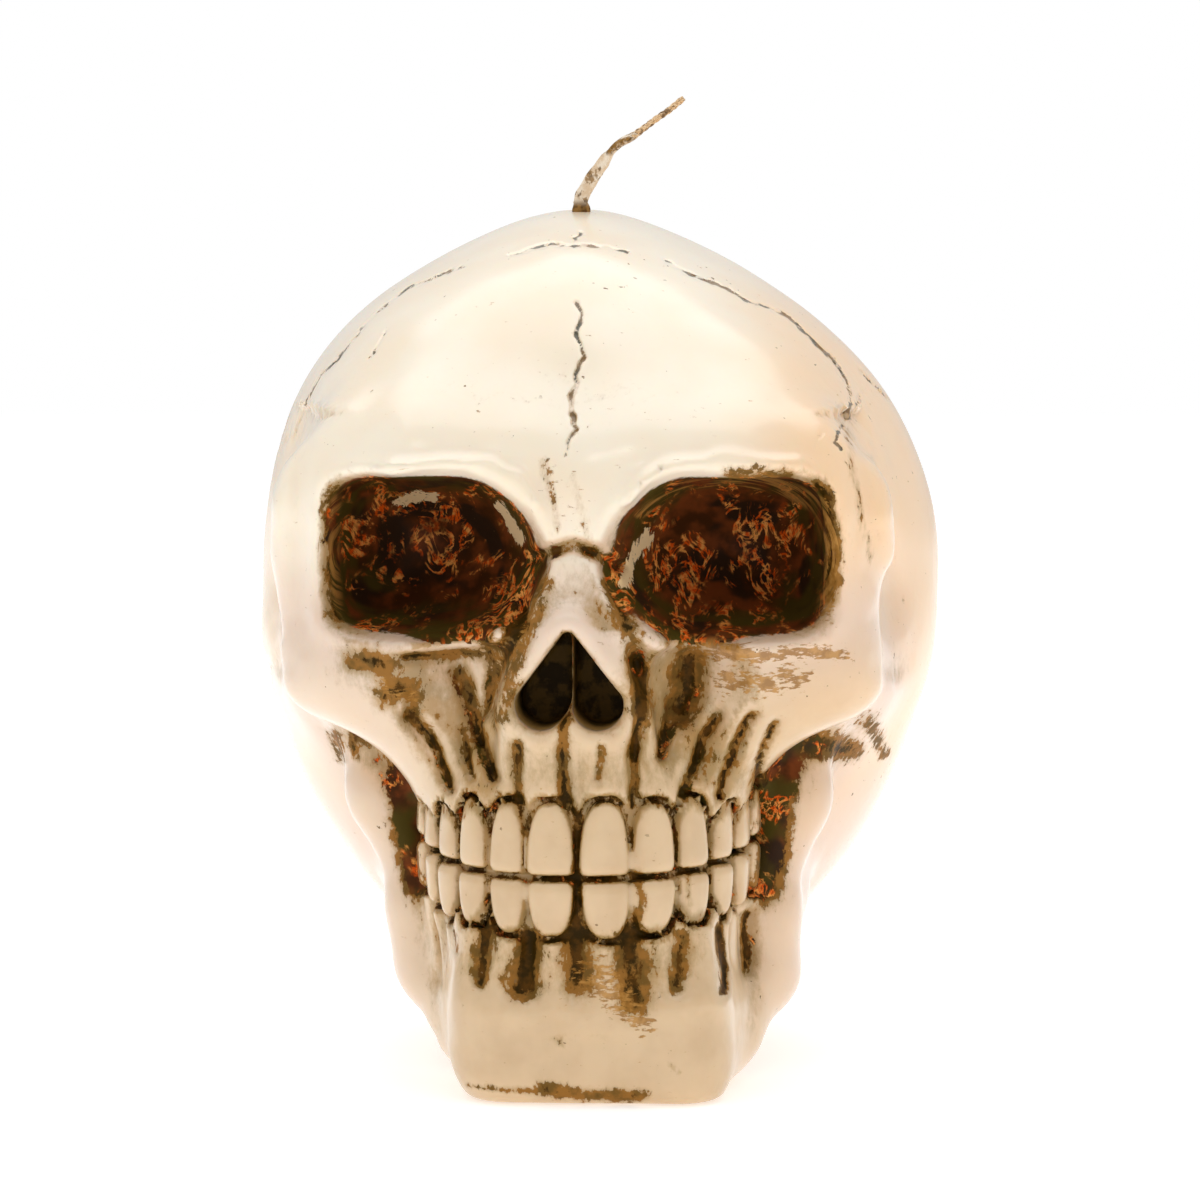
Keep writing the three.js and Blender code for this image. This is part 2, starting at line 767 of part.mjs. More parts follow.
const collarRadius = boreRadius + collarWall;
const tabTop = tabLift + tabThickness;

function sustainer() {
  return geometryOf(
    solidOf(disc(tabRadius, tabLift, tabTop))
      .add(solidOf(disc(collarRadius, tabLift, tabTop + collarHeight)))
      .subtract(solidOf(disc(boreRadius, -overrun, tabTop + collarHeight + overrun))),
  );
}

function basePlug() {
  return geometryOf(
    solidOf(disc(plugRadius, 0, plugDepth))
      .subtract(solidOf(disc(tabRadius + seatGap, -overrun, tabTop + seatGap)))
      .subtract(solidOf(disc(collarRadius + seatGap, -overrun, tabTop + collarHeight + seatGap)))
      .subtract(solidOf(disc(boreRadius, -overrun, plugDepth + overrun))),
  );
}

// The flat wick: upright through the wax, then bent to the right, turned on edge where it bends
function wick() {
  const [x, y, top] = place.wick;
  const free = new THREE.CatmullRomCurve3(
    wickShares.map(([u, v]) => new THREE.Vector3(x + u * wickReach, y, top + v * wickRise)),
  );
  const stations = [{ spot: new THREE.Vector3(x, y, tabLift), heading: new THREE.Vector3(0, 0, 1), t: 0 }];
  for (let n = 0; n <= wickSteps; n++) {
    const t = n / wickSteps;
    stations.push({ spot: free.getPointAt(t), heading: free.getTangentAt(t), t });
  }
  const across = new THREE.Vector3(0, 1, 0);
  const rings = stations.map(({ spot, heading, t }) => {
    const turn = (smoothstep(t, turnFromShare, turnToShare) * Math.PI) / 2;
    const size = lerp(1, wickTipShare, t);
    return Array.from({ length: wickSides }, (_, m) => {
      const angle = (2 * Math.PI * m) / wickSides;
      const flat = new THREE.Vector2(wickWidth * Math.cos(angle), wickThickness * Math.sin(angle));
      flat.multiplyScalar(size / 2).rotateAround(new THREE.Vector2(), turn);
      const sideways = across.clone().cross(heading).normalize();
      return spot.clone().addScaledVector(sideways, flat.x).addScaledVector(across, flat.y);
    });
  });
  const points = [...rings.flat(), stations[0].spot, stations.at(-1).spot];
  const index = [];
  for (let r = 0; r < rings.length; r++)
    for (let m = 0; m < wickSides; m++) {
      const a = r * wickSides + m;
      const b = r * wickSides + ((m + 1) % wickSides);
      if (r === 0) index.push(points.length - 2, b, a);
      if (r + 1 < rings.length) index.push(a, b, b + wickSides, a, b + wickSides, a + wickSides);
      else index.push(points.length - 1, a, b);
    }
  return new THREE.BufferGeometry().setFromPoints(points).setIndex(index);
}

const ivoryWax = new THREE.MeshStandardMaterial({ color: 0xf2e2c6, roughness: 0.35, metalness: 0 });
const plainWax = new THREE.MeshStandardMaterial({ color: 0xead6b4, roughness: 0.5, metalness: 0 });
const cotton = new THREE.MeshStandardMaterial({ color: 0xcdb894, roughness: 0.9, metalness: 0 });
const steel = new THREE.MeshStandardMaterial({ color: 0xb9bbbd, roughness: 0.35, metalness: 1 });

const casting = skullCasting();
casting.computeBoundingBox();
const middle = casting.boundingBox.getCenter(new THREE.Vector3());

const part = new THREE.Group();
for (const [name, geometry, material] of [
  ["skull_casting", casting, ivoryWax],
  ["base_top_up", basePlug(), plainWax],
  ["wick", wick(), cotton],
  ["wick_sustainer", sustainer(), steel],
]) {
  geometry.translate(-middle.x, -middle.y, 0);
  const mesh = new THREE.Mesh(geometry, material);
  mesh.name = name;
  part.add(mesh);
}

export default part;
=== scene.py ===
# Skull candle: the painted wax skull, its braided wick, the plug of wax in its base and the steel sustainer.
# The skull's skin is the zero level of a field of signed distances, in millimetres, in the casting's frame.
import math

import bmesh
import bpy
import numpy as np
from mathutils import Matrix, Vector


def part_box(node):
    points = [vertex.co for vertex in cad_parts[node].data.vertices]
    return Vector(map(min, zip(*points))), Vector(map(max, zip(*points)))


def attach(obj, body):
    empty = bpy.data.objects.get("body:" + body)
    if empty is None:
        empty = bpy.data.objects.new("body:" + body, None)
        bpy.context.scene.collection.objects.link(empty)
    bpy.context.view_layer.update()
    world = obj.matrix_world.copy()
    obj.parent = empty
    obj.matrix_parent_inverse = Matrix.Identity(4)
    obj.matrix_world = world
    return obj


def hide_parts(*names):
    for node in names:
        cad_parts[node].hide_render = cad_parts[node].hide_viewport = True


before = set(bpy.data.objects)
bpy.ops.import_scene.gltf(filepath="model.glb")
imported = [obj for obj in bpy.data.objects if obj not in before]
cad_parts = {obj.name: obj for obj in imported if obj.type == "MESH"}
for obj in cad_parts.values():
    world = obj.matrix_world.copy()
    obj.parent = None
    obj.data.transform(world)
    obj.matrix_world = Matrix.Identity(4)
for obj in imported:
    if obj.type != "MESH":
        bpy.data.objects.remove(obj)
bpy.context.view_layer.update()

MILLIMETRE = 0.001
seed = 20

# Overall sizes of the wax skull, in millimetres
skull_height = 150
cranium_width = 122.6
skull_depth = 140
half_width = cranium_width / 2
half_depth = skull_depth / 2

# The photograph's camera
photo_size = 1200
focal_pixels = 4453
camera_distance = 800
camera_azimuth = 3.4
camera_elevation = 4
camera_target = np.array([0.6, 0, 79.9])


def smoothstep(value, low, high):
    t = np.clip((value - low) / (high - low), 0, 1)
    return t * t * (3 - 2 * t)


def lerp(a, b, t):
    return a + (b - a) * t


def photo_directions():
    a, e = math.radians(camera_azimuth), math.radians(camera_elevation)
    back = np.array([math.sin(a) * math.cos(e), -math.cos(a) * math.cos(e), math.sin(e)])
    right = np.array([math.cos(a), math.sin(a), 0])
    return right, np.cross(back, right), back


# Where points of the casting's frame lie in the photograph, in pixels
def to_photo(p):
    right, up, back = photo_directions()
    q = p + frame_shift - camera_target
    scale = focal_pixels / (camera_distance - q @ back)
    return np.stack([photo_size / 2 + q @ right * scale, photo_size / 2 - q @ up * scale], axis=1)


def norm(v):
    return np.sqrt(np.einsum("ij,ij->i", v, v))


hash_steps = np.array([73856093, 19349663, 83492791])
hash_room = 4096
hash_values = np.random.default_rng(seed).uniform(-1, 1, hash_room)


# Smooth seeded noise between -1 and 1, whose blotches are about size millimetres wide
def lattice_noise(p, size):
    q = p / size
    cell = np.floor(q).astype(np.int64)
    t = q - cell
    t = t * t * (3 - 2 * t)
    total = np.zeros(len(p))
    for corner in np.ndindex(2, 2, 2):
        key = np.bitwise_xor.reduce((cell + corner) * hash_steps, axis=1) % hash_room
        total += np.prod(np.where(corner, t, 1 - t), axis=1) * hash_values[key]
    return total


# Places as shares of half the width, half the depth and the height
place_shares = {
    "cranium": (0, 0.171, 0.567),
    "forehead": (0, -0.13, 0.653),
    "temple": (0.62, -0.4, 0.6),
    "neck": (0, 0.04, 0),
    "throat": (0, -0.05, 0.3),
    "midface": (0, -0.48, 0.52),
    "glabella": (0, -0.8, 0.675),
    "brow_inner": (0.19, -0.8, 0.7),
    "brow": (0.43, -0.775, 0.708),
    "brow_tail": (0.66, -0.67, 0.695),
    "eye_bar_top": (0.715, -0.63, 0.655),
    "eye_bar": (0.725, -0.6, 0.6),
    "eye_bar_foot": (0.715, -0.61, 0.545),
    "cheek_corner": (0.7, -0.6, 0.485),
    "cheek": (0.6, -0.65, 0.476),
    "cheek_front": (0.44, -0.73, 0.47),
    "eye_rim": (0.3, -0.79, 0.5),
    "eye_rim_inner": (0.165, -0.84, 0.548),
    "arch_middle": (0.74, -0.3, 0.465),
    "arch_tail": (0.8, -0.02, 0.48),
    "buttress_foot": (0.36, -0.64, 0.37),
    "orbit": (0.388, -0.83, 0.6095),
    "nasal_root": (0, -0.8, 0.61),
    "nasal_tip": (0, -0.93, 0.533),
    "nasal_body": (0, -0.7, 0.49),
    "nasal_side": (0.09, -0.9, 0.487),
    "nasal_wing": (0.145, -0.865, 0.44),
    "nasal_foot": (0.095, -0.875, 0.405),
    "spine": (0, -0.93, 0.43),
    "nostril_top": (0.006, 0, 0.5265),
    "nostril_foot": (0.0775, 0, 0.447),
    "fossa": (0.32, -0.85, 0.455),
    "maxilla": (0, -0.52, 0.3),
    "mandible": (0, -0.6, 0.12),
    "chin": (0, -0.635, 0.065),
    "jaw_front": (0.25, -0.62, 0.1),
    "jaw_underside": (0.355, -0.5, 0.066),
    "jaw_corner": (0.425, -0.38, 0.125),
    "ramus_front": (0.47, -0.4, 0.19),
    "ramus_upper_front": (0.575, -0.4, 0.32),
    "coronoid": (0.66, -0.4, 0.41),
    "ramus_foot": (0.45, -0.25, 0.15),
    "ramus_back": (0.49, -0.18, 0.2),
    "ramus_upper_back": (0.55, -0.13, 0.3),
    "condyle": (0.645, -0.09, 0.375),
    "bite": (0, 0, 0.2545),
    "wick": (-0.05, 0.07, 1),
}
unit = np.array([half_width, half_depth, skull_height])
place = {name: np.array(shares) * unit for name, shares in place_shares.items()}

# Where the casting's frame lies in the model's frame: the wick's foot is in the middle of its sustainer
low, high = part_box("wick_sustainer")
wick_axis = np.array([(low[n] + high[n]) / 2 for n in (0, 1)]) / MILLIMETRE
frame_shift = np.array([*(wick_axis - place["wick"][:2]), 0])

# The plug of wax in the base
plug_radius = 16
plug_depth = 8
seat_gap = 0.3

# Melting widths between neighbouring forms
soft = 0.28 * half_width
medium = 0.13 * half_width
crisp = 0.06 * half_width
fine = 0.02 * half_width


# Signed distances of simple forms, negative inside

def ellipsoid(p, centre, size):
    radii = np.array(size) / 2
    q = (p - centre) / radii
    near = norm(q)
    return near * (near - 1) / np.maximum(norm(q / radii), 1e-6)


# A round rod from one point to another, which tapers from the first radius to the second
def rod(p, a, b, ra, rb):
    ab = b - a
    ap = p - a
    t = np.clip(ap @ ab / (ab @ ab), 0, 1)
    return norm(ap - t[:, None] * ab) - ra - t * (rb - ra)


def rounded_box(p, centre, size, rounding):
    q = np.abs(p - centre) - np.array(size) / 2 + rounding
    return norm(np.maximum(q, 0)) + np.minimum(q.max(axis=1), 0) - rounding


# An upright column whose outline is a superellipse
def column(p, centre, width, depth, power):
    x = np.abs(p[:, 0] - centre[0]) / (width / 2)
    y = np.abs(p[:, 1] - centre[1]) / (depth / 2)
    return ((x**power + y**power) ** (1 / power) - 1) * width / 2


# The union of two forms, which flow into each other over the given width
def melt(a, b, width):
    h = np.maximum(width - np.abs(a - b), 0) / width
    return np.minimum(a, b) - h * h * width / 4


# The same for several forms in turn
def melt_all(width, first, *others):
    for other in others:
        first = melt(first, other, width)
    return first


# The first form without the second, with the edge between them rounded
def carve(a, b, width):
    return -melt(-a, b, width)


# Rods from place to place, each place with its radius
def chain(p, links):
    pairs = zip(links, links[1:])
    return melt_all(crisp, *(rod(p, place[a], place[b], ra, rb) for (a, ra), (b, rb) in pairs))


# Forms of the skull, each for one half of the mirrored head: width, depth and height, and a box's rounding
form_sizes = {
    "temple": [(17, 40, 42)],
    "throat": [(50, 50, 66), 12],
    "midface": [(78, 48, 54)],
    "nasal_body": [(23, 26, 38)],
    "fossa": [(13, 10, 22)],
    "mandible": [(46, 37, 32), 8],
    "chin": [(44, 40, 26), 8.5],
}


# An ellipsoid, or a rounded box where a rounding is given
def form(p, name):
    shape = rounded_box if len(form_sizes[name]) > 1 else ellipsoid
    return shape(p, place[name], *form_sizes[name])


cranium_length = 116
cranium_dome = 64.9
cranium_bowl = 77
crown_pinch = 0.42
crown_pinch_power = 6
forehead_size = (104, 99, 92)
forehead_power = 3
crown_round_levels = (106, 136)
neck_width = 44
neck_length = 68
neck_power = 2.6
neck_foot = 6


# The egg of the cranium with its forehead and temples, and the neck and throat under it
def braincase(p):
    centre = place["cranium"]
    above = np.maximum(p[:, 2] - centre[2], 0)
    pinched = p.copy()
    pinched[:, 0] *= 1 + crown_pinch * (above / cranium_dome) ** crown_pinch_power
    dome, bowl = (ellipsoid(pinched, centre, (cranium_width, cranium_length, 2 * height))
                  for height in (cranium_dome, cranium_bowl))
    egg = np.where(above > 0, dome, bowl)
    stem = column(p, place["neck"], neck_width, neck_length, neck_power)
    neck = np.maximum(stem, np.maximum(p[:, 2] - centre[2], -p[:, 2] - neck_foot))
    return melt_all(medium, egg, forehead(pinched), form(p, "temple"), neck, form(p, "throat"))


# Squarish over the brows and round at the crown
def forehead(p):
    q = np.abs(p - place["forehead"]) / (np.array(forehead_size) / 2)
    power = lerp(forehead_power, 2, smoothstep(p[:, 2], *crown_round_levels))
    level = (q[:, 0] ** power + q[:, 1] ** power) ** (1 / power)
    return (np.hypot(level, q[:, 2]) - 1) * forehead_size[2] / 2


# The ring of bone round the eye, the cheekbone's arch to the ear and its buttress down to the teeth
def eye_bones(p):
    ring = chain(p, [
        ("glabella", 4.6), ("brow_inner", 4.5), ("brow", 4.5), ("brow_tail", 4.4), ("eye_bar_top", 4.1),
        ("eye_bar", 4.1), ("eye_bar_foot", 4.1), ("cheek_corner", 6.8), ("cheek", 6.4), ("cheek_front", 5.4),
        ("eye_rim", 3.6), ("eye_rim_inner", 3.6),
    ])
    arch = chain(p, [("cheek_corner", 4.4), ("arch_middle", 4.4), ("arch_tail", 2.6)])
    buttress = chain(p, [("cheek", 4.2), ("buttress_foot", 4.2)])
    return melt_all(medium, ring, arch, buttress)


# The middle of the face with the raised rim of the nasal opening
def nose_bones(p):
    rim = chain(p, [
        ("nasal_root", 3.8), ("nasal_tip", 3), ("nasal_side", 2.8), ("nasal_wing", 2.8), ("nasal_foot", 2.8),
        ("spine", 2.2),
    ])
    return melt(form(p, "nasal_body"), rim, crisp)


nostril_radii = (0.5, 4.3)
nostril_reach = 48
septum_half = 0.66
septum_front = 59.5


# One lobe of the heart-shaped nasal opening, running backwards from the face
def nostril(p):
    flat = p * np.array([1, 0, 1])
    lobe = rod(flat, place["nostril_top"], place["nostril_foot"], *nostril_radii)
    d = np.maximum(lobe, p[:, 1] + nostril_reach)
    return np.maximum(d, np.minimum(septum_half - p[:, 0], p[:, 1] + septum_front))


orbit_width = 34.8
orbit_height = 26
orbit_depth = 30
orbit_slant = 0.37
orbit_powers = (2.1, 5)
orbit_squaring = (-0.9, 0.9)


# The eye socket, round towards the nose and squarish towards the temple
def orbit(p):
    centre = place["orbit"]
    x = (p[:, 0] - centre[0]) / (orbit_width / 2)
    y = (p[:, 1] - centre[1] - orbit_slant * (p[:, 0] - centre[0])) / orbit_depth
    z = (p[:, 2] - centre[2]) / (orbit_height / 2)
    power = lerp(*orbit_powers, smoothstep(x, *orbit_squaring))
    ring = (np.abs(x) ** power + np.abs(z) ** power) ** (1 / power)
    return (np.hypot(ring, y) - 1) * orbit_height / 2


# The jaw's body and chin, and the ramus that rises to the coronoid in front and the condyle behind
def lower_jaw(p):
    front = chain(p, [
        ("jaw_front", 7.4), ("jaw_underside", 6.4), ("jaw_corner", 7.2), ("ramus_front", 5.4),
        ("ramus_upper_front", 4.6), ("coronoid", 3.4),
    ])
    back = chain(p, [
        ("jaw_corner", 7.2), ("ramus_foot", 6.2), ("ramus_back", 4.6), ("ramus_upper_back", 4.4),
        ("condyle", 4.6),
    ])
    web = chain(p, [
        ("ramus_front", 4.6), ("ramus_back", 4.4), ("ramus_upper_front", 3.8), ("ramus_upper_back", 3.8),
    ])
    return melt_all(medium, front, back, web, form(p, "mandible"), form(p, "chin"))


# The head's own leanings: the braincase to the left at the crown, the jaw to the right at the base
crown_lean = 5.8
crown_return = 18
crown_return_share = 0.65
bowl_shift = 0.5
bowl_shift_share = 0.55
jaw_shift = 2.9
jaw_shift_top = 62
jaw_shift_power = 1.5
nose_shift = -0.7


def brain_lean(z):
    up = (z - place["cranium"][2]) / (skull_height - place["cranium"][2])
    rise = np.maximum(up, 0)
    over = np.maximum(up - crown_return_share, 0)
    return -crown_lean * rise**2 + crown_return * over**2 - bowl_shift * smoothstep(-up, 0, bowl_shift_share)


def face_lean(z):
    return jaw_shift * np.maximum(1 - np.maximum(z, 0) / jaw_shift_top, 0) ** jaw_shift_power


# The distance from the middle plane, rounded off close to it so that the two halves flow together
def rounded(u, width=crisp):
    return np.where(np.abs(u) < width, (u * u + width * width) / width / 2, np.abs(u))


def mirrored(p, lean, width=crisp):
    q = p.copy()
    q[:, 0] = rounded(p[:, 0] - lean, width)
    return q


# Teeth, measured in each tooth's own frame: across it, out of the mouth, and up from the biting edge
tooth_pitches = {-1: [9.2, 8, 7.6, 7.6, 7.4, 7.2], 1: [9.4, 9.2, 8.2, 7.6, 7.4, 7.2]}
tooth_gap = 1
upper_heights = [12.6, 12.4, 12, 11.3, 10.3, 9.1]
lower_heights = [9.5, 9.4, 9.3, 9.1, 8.9, 8.6]
tooth_length = 6.4
tooth_rounding = 1.5
tooth_crown = 0.5
tooth_power = 2.5
edge_rounding = 1.4
bite_gap = 0.8
bite_rise = 3.6
socket_gap = 0.9
groove_depth = 2.4
tooth_width_range = (0.97, 1.02)
tooth_height_range = (0.97, 1.03)
tooth_turn_spread = 0.03
tooth_tilt_spread = 0.02
dental_arch_shares = [
    (0, -0.95), (0.12, -0.94), (0.2, -0.91), (0.3, -0.85), (0.38, -0.76), (0.44, -0.66), (0.48, -0.55),
    (0.5, -0.43),
]
arch_steps = 12


# Points along a smooth curve through given points, so many from each to the next
def curve_through(points, steps):
    points = [np.array(q, float) for q in points]
    padded = [2 * points[0] - points[1], *points, 2 * points[-1] - points[-2]]
    line = []
    for a, b, c, d in zip(padded, padded[1:], padded[2:], padded[3:]):
        for t in np.linspace(0, 1, steps, endpoint=False):
            line.append((2 * b + (c - a) * t + (2 * a - 5 * b + 4 * c - d) * t**2
                         + (3 * b - a - 3 * c + d) * t**3) / 2)
    return np.array([*line, points[-1]])


def lengths_along(line):
    steps = np.sqrt((np.diff(line, axis=0) ** 2).sum(axis=1))
    return np.concatenate([[0], np.cumsum(steps)])


def tooth_row():
    rng = np.random.default_rng(seed)
    arch = curve_through([(x * half_width, y * half_depth) for x, y in dental_arch_shares], arch_steps)
    along = lengths_along(arch)
    row = []
    for upper in (True, False):
        level = place["bite"][2] + (bite_gap / 2 if upper else -bite_gap / 2)
        heights = upper_heights if upper else lower_heights
        for side, pitches in tooth_pitches.items():
            reached = 0
            for number, (pitch, height) in enumerate(zip(pitches, heights)):
                middle = reached + pitch / 2
                reached += pitch
                spot = np.array([np.interp(middle, along, arch[:, n]) for n in (0, 1)])
                ahead = np.array([np.interp(middle + 1, along, arch[:, n]) for n in (0, 1)])
                heading = math.atan2(*(ahead - spot)[::-1]) * side
                rise = bite_rise * (number / (len(pitches) - 1)) ** 2
                row.append({
                    "spot": np.array([side * spot[0] + float(face_lean(level)), spot[1], level + rise]),
                    "heading": heading + rng.normal(0, tooth_turn_spread),
                    "half": (pitch - tooth_gap) / 2 * rng.uniform(*tooth_width_range),
                    "height": height * rng.uniform(*tooth_height_range),
                    "tilt": rng.normal(0, tooth_tilt_spread),
                    "upper": upper,
                })
    return row


teeth = tooth_row()
tooth_levels = [tooth["spot"][2] for tooth in teeth]
mouth_half = 40
mouth_reach = 15
mouth_levels = (min(tooth_levels) - mouth_reach, max(tooth_levels) + mouth_reach)
mouth_back = -20
tooth_reach = 10
far = 1e3


# A tooth seen from the front is a superellipse's upper half, and its face is crowned
def tooth_distance(p, tooth):
    q = p - tooth["spot"]
    c, s = math.cos(tooth["heading"]), math.sin(tooth["heading"])
    out = q[:, 0] * s - q[:, 1] * c
    up = q[:, 2] if tooth["upper"] else -q[:, 2]
    across = q[:, 0] * c + q[:, 1] * s + tooth["tilt"] * up
    x = np.abs(across) / tooth["half"]
    z = np.maximum(up, 0) / tooth["height"]
    level = np.maximum((x**tooth_power + z**tooth_power) ** (1 / tooth_power), 1e-3)
    steep_x = (x / level) ** (tooth_power - 1) / tooth["half"]
    steep_z = (z / level) ** (tooth_power - 1) / tooth["height"]
    outline = (level - 1) / np.maximum(np.hypot(steep_x, steep_z), 0.5 / tooth["height"])
    outline = carve(outline, up, edge_rounding)
    out = out + tooth_crown * (x * x + z * z)
    depth = np.abs(out + tooth_length / 2) - tooth_length / 2
    r = tooth_rounding
    box = np.stack([np.maximum(outline + r, 0), np.maximum(depth + r, 0)], axis=1)
    inner = np.minimum(np.maximum(outline, depth) + r, 0)
    return norm(box) + inner - r, out


# Changes distances at the front of the mouth, between two levels, and leaves the others as they are
def change_mouth(change, p, d, bottom, top, back):
    level = (p[:, 2] > bottom) & (p[:, 2] < top)
    chosen = np.nonzero(level & (p[:, 1] < back) & (np.abs(p[:, 0]) < mouth_half))[0]
    d = d.copy()
    if len(chosen):
        d[chosen] = change(p[chosen], d[chosen])
    return d


# The teeth with the numbers of the points that are close to each
def teeth_near(q, reach):
    for tooth in teeth:
        yield tooth, np.nonzero(np.hypot(*(q - tooth["spot"])[:, :2].T) < reach)[0]


def with_teeth(q, gums):
    crowns = np.full(len(q), far)
    grooves = np.full(len(q), far)
    for tooth, close in teeth_near(q, tooth_reach):
        crown, out = tooth_distance(q[close], tooth)
        crowns[close] = np.minimum(crowns[close], crown)
        grooves[close] = np.minimum(grooves[close], np.maximum(crown - socket_gap, -out - groove_depth))
    return np.minimum(carve(gums, grooves, fine), crowns)


root_levels = (8, 74)
root_back = -24
root_inset = 3.4
root_overlap = 1
root_rise = 12
root_lean = 0.06
root_retreat = 1.5
root_radii = (2.9, 1.5)
root_reach = 14


# Root ridges above and below the teeth
def with_roots(q, gums):
    for tooth, close in teeth_near(q, root_reach):
        sign = 1 if tooth["upper"] else -1
        inward = np.array([-math.sin(tooth["heading"]), math.cos(tooth["heading"]), 0])
        foot = tooth["spot"] + root_inset * inward
        start = foot + np.array([0, 0, sign * (tooth["height"] - root_overlap)])
        slant = -root_lean * tooth["spot"][0]
        end = foot + np.array([slant, root_retreat, sign * (tooth["height"] + root_rise)])
        gums[close] = melt(gums[close], rod(q[close], start, end, *root_radii), crisp)
    return gums


alveolar_width = 48
alveolar_length = 55
alveolar_power = 2.4
alveolar_half_height = 31


# The head before its sockets are hollowed
def solid_face(p):
    brain = mirrored(p, brain_lean(p[:, 2]))
    face = mirrored(p, face_lean(p[:, 2]))
    alveolar = column(face, place["maxilla"], alveolar_width, alveolar_length, alveolar_power)
    maxilla = np.maximum(alveolar, np.abs(p[:, 2] - place["maxilla"][2]) - alveolar_half_height)
    return melt(melt_all(medium, braincase(brain), form(face, "midface"), maxilla), eye_bones(face), soft)


lump_size = 12
lump_height = 0.2
eye_lip = (1.3, 2.1, 1.5)
nose_lip = (0.6, 2, 1.4)
nose_lip_back = -56


# A raised lip round an opening, with the lip's height, how far out its middle is and half its width
def lip(gap, height, middle, half):
    return height * np.exp(-(((gap - middle) / half) ** 2))


def eye_opening(p):
    return orbit(mirrored(p, face_lean(p[:, 2])))


def nose_opening(p):
    return nostril(mirrored(p, nose_shift, fine))


def head_in_one(p):
    face = mirrored(p, face_lean(p[:, 2]))
    d = carve(solid_face(p), form(face, "fossa"), medium)
    d = melt(d, nose_bones(mirrored(p, nose_shift)), crisp)
    eye = eye_opening(p)
    d = carve(d - lip(eye, *eye_lip) * (p[:, 1] < 0), eye, crisp)
    d = melt(d, lower_jaw(face), crisp)
    d = change_mouth(with_roots, p, d, *root_levels, root_back)
    d = d + stroke_depth(p) + lump_height * lattice_noise(p, lump_size)
    opening = nose_opening(p)
    d = carve(d - lip(opening, *nose_lip) * (p[:, 1] < nose_lip_back), opening, fine)
    d = change_mouth(with_teeth, p, d, *mouth_levels, mouth_back)
    d = carve(d, p[:, 2], fine)
    well = np.hypot(p[:, 0] - place["wick"][0], p[:, 1] - place["wick"][1]) - plug_radius - seat_gap
    return np.maximum(d, -np.maximum(well, p[:, 2] - plug_depth - seat_gap))


